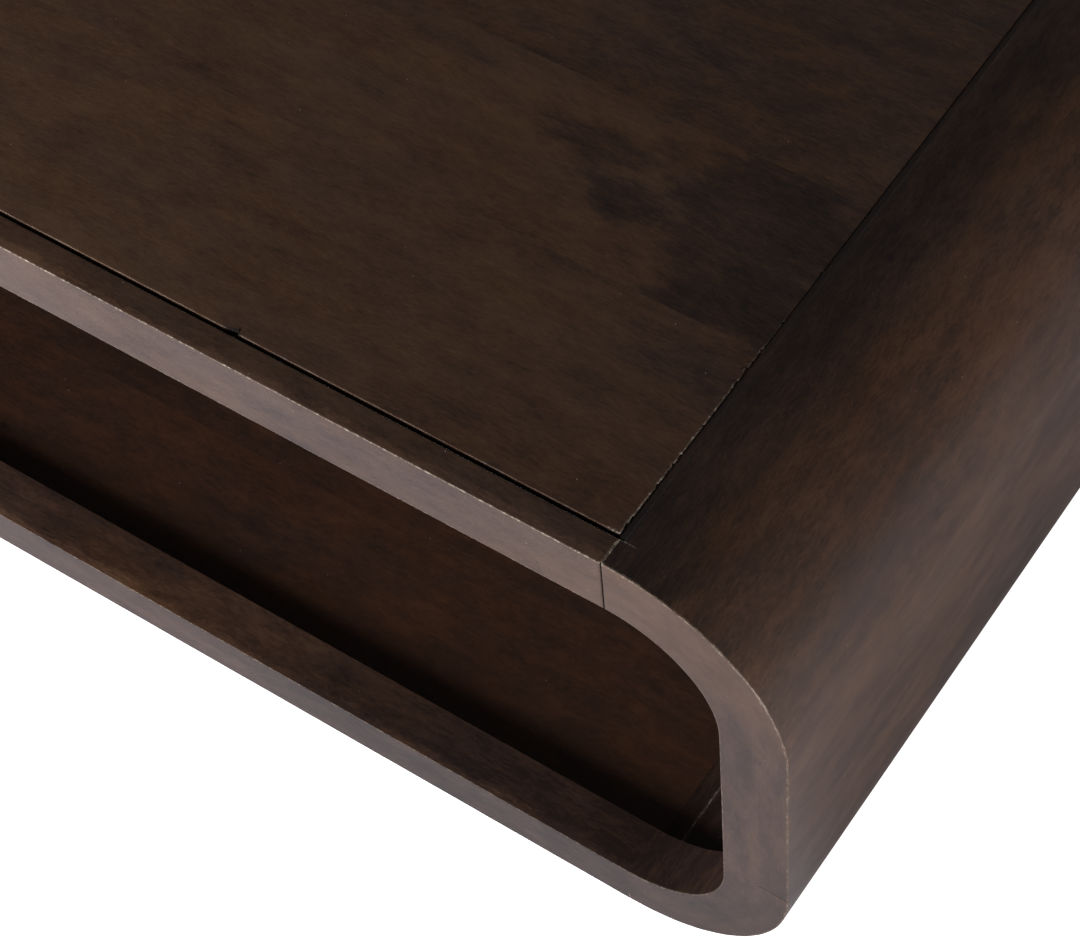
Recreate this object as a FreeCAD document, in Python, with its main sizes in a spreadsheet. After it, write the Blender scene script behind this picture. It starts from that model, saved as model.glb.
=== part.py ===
"""Waterfall coffee table: an open-ended wooden tube with four quarter-round corners.

X runs along the table, Y from the front to the rear and Z up, with the origin on the
floor under the middle. The shell is one thickness all round: a boarded top, a boarded
shelf, boarded ends and corners glued up from staves. A lip behind the front and rear
edges makes them look thicker and takes the dowels.
"""
import FreeCAD, Part
import os
import re

import Sketcher
from FreeCAD import Rotation, Vector

doc = FreeCAD.newDocument("waterfall_coffee_table")

# Driving sizes in millimetres, and counts
sizes = {
    # whole table
    "length": "1200",
    "depth": "700",
    "height": "400",
    # shell of boards and staves
    "skin": "20",
    "corner_radius": "120",
    "stave_count": "5",
    # lip behind the open edges
    "edge_lip": "26",
    "base_lip": "17",
    "lip_depth": "36",
    # part of a rail that shows beside its panel
    "rail_face": "19",
    # shadow groove round the top panel, shallow across the ends
    "groove_width": "3",
    "groove_depth": "6",
    "end_groove_depth": "1",
    # loose splines, with their distance from the outer face
    "spline_inset": "12",
    "spline_thickness": "4",
    "board_spline_width": "16",
    "end_spline_width": "20",
    "spline_stop": "15",
    # dowels
    "dowel_diameter": "8",
    "dowel_length": "40",
    "dowel_fit": "0.2",
    # bearers across the underside of the top
    "bearer_width": "45",
    # countersunk screws
    "screw_diameter": "4",
    "screw_head_diameter": "8",
    "screw_head_height": "2.4",
    "screw_fit": "0.2",
    "top_screw_length": "38",
    "shelf_screw_length": "30",
    "rail_screw_count": "5",
    # nail-on glides
    "glide_diameter": "16",
    "glide_taper": "1",
    "glide_height": "3",
    "glide_inset": "40",
    "nail_diameter": "2.4",
    "nail_length": "15",
    "nail_head_diameter": "6",
    "nail_head_height": "1.2",
    "nail_recess": "0.6",
    "nail_fit": "0.2",
    # how far a cutting shape runs past what it cuts
    "overrun": "5",
}

# Widths of the boards as shares of a panel, from the front and from below
top_board_shares = [0.225, 0.186, 0.239, 0.168, 0.182]
shelf_board_shares = [0.19, 0.215, 0.18, 0.22, 0.195]
side_board_shares = [0.46, 0.54]
# Places of the two bearers along the top panel, from its middle
bearer_shares = [-0.25, 0.25]

sheet = doc.addObject("Spreadsheet::Sheet", "Sizes")
for row, (alias, value) in enumerate(sizes.items(), start=1):
    sheet.set(f"A{row}", alias)
    sheet.set(f"B{row}", value)
    sheet.setAlias(f"B{row}", alias)
doc.recompute()

stave_count = int(sizes["stave_count"])
rail_screw_count = int(sizes["rail_screw_count"])

# Places that several pieces share, as expressions of the sizes
PANEL_LENGTH = "(length - 2*corner_radius)"
PANEL_DEPTH = "(depth - 2*rail_face)"
SEAM_X = "(length/2 - corner_radius)"
UPPER_Z = "(height - corner_radius)"
LOWER_Z = "(glide_height + corner_radius)"
SIDE_HEIGHT = f"({UPPER_Z} - {LOWER_Z})"
LIP_Y = "(depth/2 - lip_depth/2)"
FACE_Y = "(depth/2 - rail_face/2)"
LEDGE_Y = "(depth/2 - (rail_face + lip_depth)/2)"
BORE_LENGTH = "(depth + 2*overrun)"

LEVELS = {"top": 1, "base": -1}
CORNER_ROWS = {"upper": 1, "lower": -1}
ENDS = {"left": -1, "right": 1}
FACES = {"front": -1, "rear": 1}
QUARTER = 90

nodes = {}


def bind(obj, name, expression):
    """Tie a property to an expression of the sizes in the sheet."""
    obj.setExpression(name, re.sub(r"[a-z][a-z_]+", r"Sizes.\g<0>", expression))


def place(obj, x, y, z):
    for axis, expression in zip("xyz", (x, y, z)):
        bind(obj, f"Placement.Base.{axis}", expression)


def inward(level, distance):
    """Height of a point that lies a distance inside the top or the base face."""
    if level > 0:
        return f"(height - ({distance}))"
    return f"(glide_height + ({distance}))"


def lip_of(level):
    return "edge_lip" if level > 0 else "base_lip"


def block(name, centre, size):
    """Box given by its centre and its size along X, Y and Z."""
    box = doc.addObject("Part::Box", name)
    for side, extent in zip(("Length", "Width", "Height"), size):
        bind(box, side, extent)
    place(box, *(f"({middle}) - ({extent})/2" for middle, extent in zip(centre, size)))
    return box


def rod(name, axis, start, diameter, length):
    """Round bar from a start point along an axis."""
    bar = doc.addObject("Part::Cylinder", name)
    bind(bar, "Radius", f"({diameter})/2")
    bind(bar, "Height", length)
    bar.Placement.Rotation = Rotation(Vector(0, 0, 1), axis)
    place(bar, *start)
    return bar


def wedge(name, centre, radius, run, start_angle, sweep):
    """Slice of a round bar that lies along Y, from an angle above +X through a sweep."""
    sector = doc.addObject("Part::Cylinder", name)
    bind(sector, "Radius", radius)
    bind(sector, "Height", run)
    bind(sector, "Angle", sweep)
    lie_down = Rotation(Vector(1, 0, 0), QUARTER)
    sector.Placement.Rotation = lie_down * Rotation(Vector(0, 0, 1), start_angle)
    x, y, z = centre
    place(sector, x, f"({y}) + ({run})/2", z)
    return sector


def joined(name, pieces):
    union = doc.addObject("Part::MultiFuse", name)
    union.Shapes = pieces
    return union


def cut(name, base, tools):
    """A base piece with every tool taken out of it."""
    result = doc.addObject("Part::Cut", name)
    result.Base = base
    result.Tool = tools[0] if len(tools) == 1 else joined(f"{name}_tools", tools)
    return result


def node(name, obj):
    obj.Label = name
    nodes[name] = obj


def node_group(name, pieces):
    """Several loose solids of one kind under one name."""
    compound = doc.addObject("Part::Compound", f"{name}_group")
    compound.Links = pieces
    node(name, compound)


def edges_of(shares):
    """Running totals of a list of shares, from zero to one."""
    totals = [0]
    for share in shares:
        totals.append(totals[-1] + share)
    return totals


# Dowels: each is a peg and the pair of holes that it bridges
def dowel(name, axis, centre):
    x, y, z = centre
    half = "dowel_length/2"
    start = [x, y, z]
    along = 0 if axis.x else 2
    start[along] = f"({start[along]}) - {half}"
    peg = rod(f"{name}_peg", axis, start, "dowel_diameter", "dowel_length")
    hole = rod(f"{name}_hole", axis, start, "dowel_diameter + dowel_fit", "dowel_length")
    return peg, hole


rail_pegs = []
skin_holes = {}
lip_holes = {}
for level_name, level in LEVELS.items():
    for face_name, face in FACES.items():
        for end_name, end in ENDS.items():
            key = (level, face, end)
            stem = f"{level_name}_{face_name}_{end_name}"
            seam = f"{end}*{SEAM_X}"
            skin_spot = (seam, f"{face}*{FACE_Y}", inward(level, "skin/2"))
            lip_spot = (seam, f"{face}*{LIP_Y}", inward(level, f"skin + {lip_of(level)}/2"))
            peg, skin_holes[key] = dowel(f"{stem}_skin", Vector(1, 0, 0), skin_spot)
            rail_pegs.append(peg)
            peg, lip_holes[key] = dowel(f"{stem}_lip", Vector(1, 0, 0), lip_spot)
            rail_pegs.append(peg)
node_group("rail_dowels", rail_pegs)

stile_pegs = []
stile_holes = {}
for row_name, row in CORNER_ROWS.items():
    for face_name, face in FACES.items():
        for end_name, end in ENDS.items():
            height = UPPER_Z if row > 0 else LOWER_Z
            spot = (f"{end}*(length/2 - skin - edge_lip/2)", f"{face}*{LIP_Y}", height)
            stem = f"stile_{row_name}_{face_name}_{end_name}"
            peg, stile_holes[row, face, end] = dowel(stem, Vector(0, 0, 1), spot)
            stile_pegs.append(peg)
node_group("stile_dowels", stile_pegs)

# Splines: flat tongues let half into each of the two pieces that they join
end_splines = {}
for level_name, level in LEVELS.items():
    for end_name, end in ENDS.items():
        end_splines[level, end] = block(
            f"{level_name}_{end_name}_spline",
            (f"{end}*{SEAM_X}", "0", inward(level, "spline_inset")),
            ("end_spline_width", f"{PANEL_DEPTH} - 2*spline_stop", "spline_thickness"),
        )
node_group("panel_end_splines", list(end_splines.values()))


def board_splines(name, level, shares):
    """Splines along the seams between the boards of a panel."""
    return [
        block(
            f"{name}_spline_{seam}",
            ("0", f"({total} - 1/2)*{PANEL_DEPTH}", inward(level, "spline_inset")),
            (
                f"{PANEL_LENGTH} - end_spline_width - 2*spline_stop",
                "board_spline_width",
                "spline_thickness",
            ),
        )
        for seam, total in enumerate(edges_of(shares)[1:-1], start=1)
    ]


top_splines = board_splines("top", LEVELS["top"], top_board_shares)
node_group("top_board_splines", top_splines)
shelf_splines = board_splines("shelf", LEVELS["base"], shelf_board_shares)
node_group("shelf_board_splines", shelf_splines)

side_splines = {}
for end_name, end in ENDS.items():
    for seam, total in enumerate(edges_of(side_board_shares)):
        side_splines[end, seam] = block(
            f"side_{end_name}_spline_{seam}",
            (f"{end}*(length/2 - spline_inset)", "0", f"{LOWER_Z} + {total}*{SIDE_HEIGHT}"),
            ("spline_thickness", "depth - 2*spline_stop", "end_spline_width"),
        )
node_group("side_splines", list(side_splines.values()))


# Screws: a countersunk head at the bottom and a plain shank that points up
def screw_shape(name, x, y, z, length, fit):
    head = doc.addObject("Part::Cone", f"{name}_head")
    bind(head, "Radius1", f"(screw_head_diameter + {fit})/2")
    bind(head, "Radius2", f"(screw_diameter + {fit})/2")
    bind(head, "Height", "screw_head_height")
    place(head, x, y, z)
    shank_start = (x, y, f"{z} + screw_head_height")
    shank_length = f"{length} - screw_head_height"
    shank = rod(f"{name}_shank", Vector(0, 0, 1), shank_start, f"screw_diameter + {fit}", shank_length)
    return joined(name, [head, shank])


def screw(name, x, y, z, length):
    hole = screw_shape(f"{name}_hole", x, y, z, length, "screw_fit")
    return screw_shape(name, x, y, z, length, "0"), hole


def rail_row(name, z, length):
    """Screws in a row along the ledge of the front and of the rear rail."""
    screws = []
    holes = {face: [] for face in FACES.values()}
    for face_name, face in FACES.items():
        for number in range(rail_screw_count):
            x = f"({number} - (rail_screw_count - 1)/2)*{PANEL_LENGTH}/rail_screw_count"
            body, hole = screw(f"{name}_{face_name}_{number + 1}", x, f"{face}*{LEDGE_Y}", z, length)
            screws.append(body)
            holes[face].append(hole)
    return screws, holes


UNDER_TOP = inward(LEVELS["top"], "skin + edge_lip")
top_screws, top_screw_holes = rail_row("top_screw", UNDER_TOP, "top_screw_length")
node_group("top_screws", top_screws)
shelf_screws, shelf_screw_holes = rail_row("shelf_screw", "glide_height", "shelf_screw_length")
node_group("shelf_screws", shelf_screws)

# Bearers: two battens between the rails, one screw into each board of the top
bearer_screws = []
bearer_board_holes = {number: [] for number in range(len(top_board_shares))}
for end_name, share in zip(ENDS, bearer_shares):
    x = f"({share})*{PANEL_LENGTH}"
    bearer_holes = []
    for number, total in enumerate(edges_of(top_board_shares)[:-1]):
        y = f"({total} + {top_board_shares[number]}/2 - 1/2)*{PANEL_DEPTH}"
        body, hole = screw(f"bearer_{end_name}_{number + 1}", x, y, UNDER_TOP, "top_screw_length")
        bearer_screws.append(body)
        bearer_holes.append(hole)
        bearer_board_holes[number].append(hole)
    batten = block(
        f"batten_{end_name}",
        (x, "0", inward(LEVELS["top"], "skin + edge_lip/2")),
        ("bearer_width", "depth - 2*lip_depth", "edge_lip"),
    )
    node(f"bearer_{end_name}", cut(f"bearer_{end_name}", batten, bearer_holes))
node_group("bearer_screws", bearer_screws)

# Glides: a tapered pad under the base rail, held by one nail with a sunk head
pads = []
nails = []
nail_holes = {face: [] for face in FACES.values()}
for face_name, face in FACES.items():
    for place_name, step in {"left": -1, "middle": 0, "right": 1}.items():
        stem = f"glide_{face_name}_{place_name}"
        x = f"{step}*({SEAM_X} - glide_inset)"
        y = f"{face}*{FACE_Y}"
        disc = doc.addObject("Part::Cone", f"{stem}_disc")
        bind(disc, "Radius1", "glide_diameter/2 - glide_taper")
        bind(disc, "Radius2", "glide_diameter/2")
        bind(disc, "Height", "glide_height")
        place(disc, x, y, "0")
        up = Vector(0, 0, 1)
        head_top = "nail_recess + nail_head_height"
        well = rod(f"{stem}_well", up, (x, y, "-overrun"), "nail_head_diameter + nail_fit",
                   f"overrun + {head_top}")
        hole = rod(f"{stem}_hole", up, (x, y, head_top), "nail_diameter + nail_fit", "nail_length")
        pads.append(cut(f"{stem}_pad", disc, [well, hole]))
        head = rod(f"{stem}_head", up, (x, y, "nail_recess"), "nail_head_diameter", "nail_head_height")
        shank = rod(f"{stem}_shank", up, (x, y, head_top), "nail_diameter", "nail_length")
        nails.append(joined(f"{stem}_nail", [head, shank]))
        nail_holes[face].append(hole)
node_group("glide_pads", pads)
node_group("glide_nails", nails)


# Rails: an L section, with the panel in its rabbet, drawn inward from the outer edge
def length_of(total):
    """Present length of a sum of sizes, to draw a sketch before it is constrained."""
    return sum(float(sizes.get(name, 0)) for name in total.split(" + "))


def rail_section(body, lip):
    sketch = body.newObject("Sketcher::SketchObject", f"{body.Name}_section")
    plane = next(item for item in body.Origin.OriginFeatures if item.Role == "XY_Plane")
    sketch.AttachmentSupport = (plane, "")
    sketch.MapMode = "FlatFace"
    corners = [
        ("0", "0"),
        ("rail_face", "0"),
        ("rail_face", "skin"),
        ("lip_depth", "skin"),
        ("lip_depth", f"skin + {lip}"),
        ("0", f"skin + {lip}"),
    ]
    spots = [Vector(length_of(across), length_of(down), 0) for across, down in corners]
    for start, end in zip(spots, spots[1:] + spots[:1]):
        sketch.addGeometry(Part.LineSegment(start, end))
    for line in range(len(spots)):
        follower = (line + 1) % len(spots)
        sketch.addConstraint(Sketcher.Constraint("Coincident", line, 2, follower, 1))
    for line, (corner, spot) in enumerate(zip(corners, spots)):
        for kind, expression, value in zip(("DistanceX", "DistanceY"), corner, (spot.x, spot.y)):
            number = sketch.addConstraint(Sketcher.Constraint(kind, -1, 1, line, 1, value))
            bind(sketch, f"Constraints[{number}]", expression)
    return sketch


def rail(name, level, face):
    body = doc.addObject("PartDesign::Body", f"{name}_body")
    pad = body.newObject("PartDesign::Pad", f"{name}_pad")
    pad.Profile = rail_section(body, lip_of(level))
    pad.SideType = "Symmetric"
    bind(pad, "Length", PANEL_LENGTH)
    across = Vector(0, -face, 0)
    down = Vector(0, 0, -level)
    body.Placement.Rotation = Rotation(across, down, across.cross(down), "XYZ")
    place(body, "0", f"{face}*depth/2", inward(level, "0"))
    return body


for level_name, level in LEVELS.items():
    for face_name, face in FACES.items():
        name = f"{level_name}_rail_{face_name}"
        tools = []
        for end in ENDS.values():
            tools += [skin_holes[level, face, end], lip_holes[level, face, end]]
        if level > 0:
            tools += top_screw_holes[face]
        else:
            tools += shelf_screw_holes[face] + nail_holes[face]
        node(name, cut(name, rail(name, level, face), tools))


# Panels: boards with spline grooves, and the shadow groove round the top
def groove(name, centre, run, sunk):
    """Cutter for one straight stretch of the shadow groove, from its middle and its run in X and Y."""
    middle = (*centre, f"height - {sunk}/2 + overrun/2")
    return block(name, middle, (*run, f"{sunk} + overrun"))


end_grooves = [
    groove(f"groove_{end_name}", (f"{end}*({SEAM_X} - groove_width/2)", "0"), ("groove_width", "depth"),
           "end_groove_depth")
    for end_name, end in ENDS.items()
]
face_grooves = {
    face: groove(f"groove_{face_name}", ("0", f"{face}*({PANEL_DEPTH} - groove_width)/2"),
                 (PANEL_LENGTH, "groove_width"), "groove_depth")
    for face_name, face in FACES.items()
}


def panel_board(name, level, shares, number):
    total = edges_of(shares)[number]
    middle = f"({total} + {shares[number]}/2 - 1/2)*{PANEL_DEPTH}"
    width = f"{shares[number]}*{PANEL_DEPTH}"
    return block(f"{name}_blank", ("0", middle, inward(level, "skin/2")), (PANEL_LENGTH, width, "skin"))


def panel(stem, level, shares, splines, common_tools, edge_tools, board_tools):
    last = len(shares) - 1
    for number in range(len(shares)):
        name = f"{stem}_board_{number + 1}"
        tools = [end_splines[level, end] for end in ENDS.values()]
        tools += splines[max(number - 1, 0):number + 1]
        tools += common_tools + board_tools.get(number, [])
        if number == 0:
            tools += edge_tools[FACES["front"]]
        if number == last:
            tools += edge_tools[FACES["rear"]]
        blank = panel_board(name, level, shares, number)
        node(name, cut(name, blank, tools))


top_edges = {face: [face_grooves[face]] + top_screw_holes[face] for face in FACES.values()}
panel("top", LEVELS["top"], top_board_shares, top_splines, end_grooves, top_edges, bearer_board_holes)
panel("shelf", LEVELS["base"], shelf_board_shares, shelf_splines, [], shelf_screw_holes, {})

# Ends: boards between the corners, with a stile behind each open edge
for end_name, end in ENDS.items():
    for number, share in enumerate(side_board_shares):
        name = f"side_board_{end_name}_{number + 1}"
        total = edges_of(side_board_shares)[number]
        middle = f"{LOWER_Z} + ({total} + {share}/2)*{SIDE_HEIGHT}"
        blank = block(
            f"{name}_blank",
            (f"{end}*(length/2 - skin/2)", "0", middle),
            ("skin", "depth", f"{share}*{SIDE_HEIGHT}"),
        )
        tools = [side_splines[end, number], side_splines[end, number + 1]]
        node(name, cut(name, blank, tools))
    for face_name, face in FACES.items():
        name = f"stile_{end_name}_{face_name}"
        blank = block(
            f"{name}_blank",
            (
                f"{end}*(length/2 - skin - edge_lip/2)",
                f"{face}*{LIP_Y}",
                f"{LOWER_Z} + {SIDE_HEIGHT}/2",
            ),
            ("edge_lip", "lip_depth", SIDE_HEIGHT),
        )
        tools = [stile_holes[row, face, end] for row in CORNER_ROWS.values()]
        node(name, cut(name, blank, tools))


# Corners: five staves to a quarter ring, with a curved lip block at each open edge
def corner(row_name, row, end_name, end):
    stem = f"{row_name}_{end_name}"
    x = f"{end}*{SEAM_X}"
    z = UPPER_Z if row > 0 else LOWER_Z
    first_angle = {(1, 1): 0, (1, -1): 1, (-1, -1): 2, (-1, 1): 3}[row, end] * QUARTER
    along = Vector(0, 1, 0)
    bore_start = (x, f"-{BORE_LENGTH}/2", z)
    core = rod(f"{stem}_core", along, bore_start, "2*(corner_radius - skin)", BORE_LENGTH)
    rail_stave = stave_count - 1 if row * end > 0 else 0
    side_stave = stave_count - 1 - rail_stave
    side_seam = len(side_board_shares) if row > 0 else 0
    staves = []
    for number in range(stave_count):
        angle = first_angle + number * QUARTER / stave_count
        blank = wedge(f"{stem}_stave_{number + 1}_blank", (x, "0", z), "corner_radius", "depth",
                      angle, f"{QUARTER}/stave_count")
        tools = [core]
        if number == rail_stave:
            tools += [end_splines[row, end]]
            tools += [skin_holes[row, face, end] for face in FACES.values()]
        if number == side_stave:
            tools += [side_splines[end, side_seam]]
        staves.append(cut(f"{stem}_stave_{number + 1}", blank, tools))
    node_group(f"corner_{stem}", staves)

    drop = "0" if row > 0 else "(edge_lip - base_lip)"
    inner_radius = "(corner_radius - skin - edge_lip)"
    hollow_start = (x, f"-{BORE_LENGTH}/2", f"{z} - {drop}")
    hollow = [rod(f"{stem}_hollow", along, hollow_start, f"2*{inner_radius}", BORE_LENGTH)]
    if row < 0:
        hollow.append(block(f"{stem}_rise", (x, "0", f"{z} - {drop}/2"),
                            (f"2*{inner_radius}", BORE_LENGTH, drop)))
    for face_name, face in FACES.items():
        name = f"lip_{stem}_{face_name}"
        blank = wedge(f"{name}_blank", (x, f"{face}*{LIP_Y}", z), "corner_radius - skin", "lip_depth",
                      first_angle, str(QUARTER))
        tools = hollow + [lip_holes[row, face, end], stile_holes[row, face, end]]
        node(name, cut(name, blank, tools))


for row_name, row in CORNER_ROWS.items():
    for end_name, end in ENDS.items():
        corner(row_name, row, end_name, end)

# Check every piece, then write each one out under its own name
doc.recompute()
failed = [obj.Label for obj in doc.Objects if {"Invalid", "Error"} & set(obj.State)]
for name, obj in nodes.items():
    if obj.Shape.isNull() or not obj.Shape.isValid() or not obj.Shape.Solids:
        failed.append(name)
if failed:
    raise RuntimeError(f"pieces that did not build: {sorted(set(failed))}")

os.makedirs("parts", exist_ok=True)
for name, obj in nodes.items():
    obj.Shape.exportStep(os.path.join("parts", f"{name}.step"))
    print(f"{name}: {len(obj.Shape.Solids)} solids, {obj.Shape.Volume:.0f} cubic millimetres")
print(f"{len(nodes)} nodes written")
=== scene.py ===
# %% [markdown]
# # A waterfall coffee table in dark stained wood
# The table is a wooden tube with rounded corners, open at the front and at the rear.
# This lesson dresses its solid model: every board, rail, corner and lip is drawn again as a
# surface with softened edges, and stained wood is mixed from a few shader node groups.
# First the solid model is loaded as a fixed frame, and the boxes of its solids are read.

# %% Load the frame
import math

import bmesh
import bpy
import numpy as np
from mathutils import Matrix, Vector


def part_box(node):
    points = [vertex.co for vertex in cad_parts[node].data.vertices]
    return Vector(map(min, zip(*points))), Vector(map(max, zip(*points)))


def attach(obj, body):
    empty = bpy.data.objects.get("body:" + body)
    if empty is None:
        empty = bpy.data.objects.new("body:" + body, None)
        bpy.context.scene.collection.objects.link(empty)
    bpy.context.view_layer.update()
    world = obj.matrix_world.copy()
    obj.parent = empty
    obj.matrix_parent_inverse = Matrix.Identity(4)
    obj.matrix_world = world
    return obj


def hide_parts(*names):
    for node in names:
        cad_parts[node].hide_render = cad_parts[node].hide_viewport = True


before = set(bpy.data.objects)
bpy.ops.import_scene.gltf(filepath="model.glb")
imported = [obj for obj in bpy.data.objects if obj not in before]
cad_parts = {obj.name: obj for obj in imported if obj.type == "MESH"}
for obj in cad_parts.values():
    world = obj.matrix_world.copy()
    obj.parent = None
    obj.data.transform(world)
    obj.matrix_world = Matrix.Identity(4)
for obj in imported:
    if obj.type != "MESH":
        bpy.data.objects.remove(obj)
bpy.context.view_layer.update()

MM = 0.001
X, Y, Z = 0, 1, 2
print("nodes in the frame:", len(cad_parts))

# %% [markdown]
# ## Sizes
# No size is typed twice: the thicknesses, the corner radius and the seams are read from the
# boxes of the solids. A maker would take them from the same drawing.

# %% Read the sizes from the solids
def node_box(name):
    """Lowest and highest corner of a solid as two arrays."""
    low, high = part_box(name)
    return np.array(low), np.array(high)


board_low, board_high = node_box("top_board_1")
corner_low, corner_high = node_box("corner_upper_right")
lip_low, lip_high = node_box("lip_upper_right_front")
stile_low, stile_high = node_box("stile_right_front")
base_low, base_high = node_box("base_rail_front")

skin = board_high[Z] - board_low[Z]
corner_radius = corner_high[X] - corner_low[X]
front_y, rear_y = corner_low[Y], corner_high[Y]
lip_depth = lip_high[Y] - lip_low[Y]
edge_lip = stile_high[X] - stile_low[X]
base_lip = base_high[Z] - base_low[Z] - skin
rail_face = board_low[Y] - front_y
seam_x = board_high[X]
half_length = corner_high[X]
top_z, base_z = corner_high[Z], base_low[Z]
upper_centre_z = corner_low[Z]
lower_centre_z = base_z + corner_radius
print(f"skin {skin / MM:.1f} mm, corner radius {corner_radius / MM:.1f} mm, seam at {seam_x / MM:.1f} mm")

# %% [markdown]
# ## Camera
# The photograph looks down on the front right corner with a long lens, tilted a little.
# Three angles, one place and one focal length fix that view.

# %% Place the camera
CAMERA_PLACE = Vector((1.0521, -1.0918, 1.8305))
VIEW_TURN = math.radians(39.276)
VIEW_DROP = math.radians(54.943)
VIEW_ROLL = math.radians(-6.367)
FOCAL_LENGTH = 104.532
SENSOR_WIDTH = 36.0
FAR_CLIP = 50.0

camera_turn = (
    Matrix.Rotation(VIEW_TURN, 4, "Z")
    @ Matrix.Rotation(math.pi / 2 - VIEW_DROP, 4, "X")
    @ Matrix.Rotation(VIEW_ROLL, 4, "Z")
)

camera_data = bpy.data.cameras.new("photo_camera")
camera_data.sensor_fit = "HORIZONTAL"
camera_data.sensor_width = SENSOR_WIDTH
camera_data.lens = FOCAL_LENGTH
camera_data.clip_end = FAR_CLIP
camera = bpy.data.objects.new("photo_camera", camera_data)
camera.matrix_world = Matrix.Translation(CAMERA_PLACE) @ camera_turn
bpy.context.scene.collection.objects.link(camera)
bpy.context.scene.camera = camera
print("camera at", tuple(round(part, 3) for part in camera.location))

# %% [markdown]
# ## From arrays to a piece
# Every piece below is worked out as whole numpy arrays: points, faces, and a few fields that
# the wood shader reads. The fields are the grain (a place inside the plank, in metres, with
# its first number along the fibres), the tone of the plank, which carries painted light on some
# faces and painted shade on others, the arris (one on the softened edge, zero on the flat, and
# also on a painted highlight), the seam (one on a glue line, and also on painted shade in
# recesses), the heart (one in dark heartwood) and the rub (one at an edge that sleeves and hands
# pass over, fading within a centimetre).
# Points that meet are merged afterwards, so each piece is one closed skin.

# %% Helpers for meshes
MERGE_DISTANCE = 0.02 * MM
SHARP_ANGLE = math.radians(40)
FIELDS = ("tone", "arris", "seam", "heart", "rub")


def grid_faces(rows, columns, closed=True):
    """Quads between neighbours of a grid of rows, the columns joined end to end if closed."""
    row = np.arange(rows - 1)[:, None] * columns
    column = np.arange(columns if closed else columns - 1)
    after = (column + 1) % columns
    corners = np.stack([row + column, row + after, row + columns + after, row + columns + column], -1)
    return corners.reshape(-1, 4).tolist()


def tube_faces(rows, columns):
    """Faces of a closed section carried along a path: the grid, and one face at each end."""
    last = (rows - 1) * columns
    return grid_faces(rows, columns) + [list(range(columns)), list(range(last, last + columns))]


def wooden_fields(grain, **given):
    """The six fields of a piece of wood, with nought for those that aren't given."""
    none = np.zeros(grain.shape[:-1])
    return {"grain": grain} | {name: none + given.get(name, 0.0) for name in FIELDS}


def add_piece(name, node, points, faces, fields):
    """A mesh object from arrays, welded, facing outwards, that stands for one solid."""
    mesh = bpy.data.meshes.new(name)
    mesh.from_pydata(points.reshape(-1, 3).tolist(), [], faces)
    for field, values in fields.items():
        kind, key = ("FLOAT_VECTOR", "vector") if field == "grain" else ("FLOAT", "value")
        attribute = mesh.attributes.new(field, kind, "POINT")
        attribute.data.foreach_set(key, np.ascontiguousarray(values, dtype=np.float32).ravel())
    shell = bmesh.new()
    shell.from_mesh(mesh)
    bmesh.ops.remove_doubles(shell, verts=shell.verts, dist=MERGE_DISTANCE)
    bmesh.ops.dissolve_degenerate(shell, edges=shell.edges, dist=MERGE_DISTANCE / 2)
    bmesh.ops.recalc_face_normals(shell, faces=shell.faces)
    shell.to_mesh(mesh)
    shell.free()
    mesh.polygons.foreach_set("use_smooth", [True] * len(mesh.polygons))
    mesh.set_sharp_from_angle(angle=SHARP_ANGLE)
    piece = bpy.data.objects.new(name, mesh)
    bpy.context.scene.collection.objects.link(piece)
    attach(piece, "root")
    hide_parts(node)
    return piece


print("fields on every wooden piece: grain,", ", ".join(FIELDS))

# %% [markdown]
# No edge of a real table is perfectly even, and no two planks are alike. A mean of a few sine
# waves with seeded phases makes any size wander along its run, the same way each time the
# script runs, and a seeded shift puts each plank in another part of the tree.

# %% Helpers for uneven edges and grain
EASE_WAVES = (0.41, 0.137, 0.053, 0.021)
TREE_REACH = 9.0


def ripple(run, seed, waves):
    """Smooth uneven line: the mean of one sine for each wavelength, with seeded phases."""
    phases = np.random.default_rng(seed).uniform(0, 2 * np.pi, len(waves))
    parts = [np.sin(2 * np.pi * run / wave + phase) for wave, phase in zip(waves, phases)]
    return np.mean(parts, axis=0)


def wandering(size, run, seed, share=0.5):
    """A size that grows and shrinks along a run by up to a share of itself."""
    return size * (1 + share * ripple(run, seed, EASE_WAVES))


def bell(distance, reach):
    """One at no distance, falling as exp(-(distance / reach)^2)."""
    return np.exp(-(distance / reach) ** 2)


def edge_closeness(distance, reach):
    """One at an edge, falling evenly to nothing at the reach."""
    return np.clip(1 - distance / reach, 0, 1)


def stations(start, end, spacing, extra):
    """Sorted places along a run, evenly spaced, with some extra ones between."""
    count = max(2, int(round(abs(end - start) / spacing)) + 1)
    return np.unique(np.r_[np.linspace(start, end, count), extra])


def tree_place(seed):
    """Seeded shift to the part of the tree that a plank is cut from."""
    return np.random.default_rng(seed).uniform(-TREE_REACH, TREE_REACH, 3)


def grain_field(points, order, seed, slope=0.0):
    """Place inside the plank: its axes along, across and through the fibres, the first two
    turned by a small slope, and all shifted to another part of the tree."""
    along, across, through = (points[..., axis] for axis in order)
    turned = np.stack([
        along * math.cos(slope) + across * math.sin(slope),
        across * math.cos(slope) - along * math.sin(slope),
        through,
    ], -1)
    return turned + tree_place(seed)


print("edges wander over waves of", ", ".join(f"{wave / MM:.0f}" for wave in EASE_WAVES), "mm")

# %% [markdown]
# ## Boards
# The top, the shelf and the ends are planks with planed faces and hand-sanded edges. A plain
# box with a bevel modifier would do, but its edges would be perfectly even. Here the edge is
# a row of rectangles, one inside the other: each row runs round the plank, set in by a
# quadratic round-over whose size wanders along the edge. The top planks also step back at
# their outer edges, and that step is the shadow groove round the panel.

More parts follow.
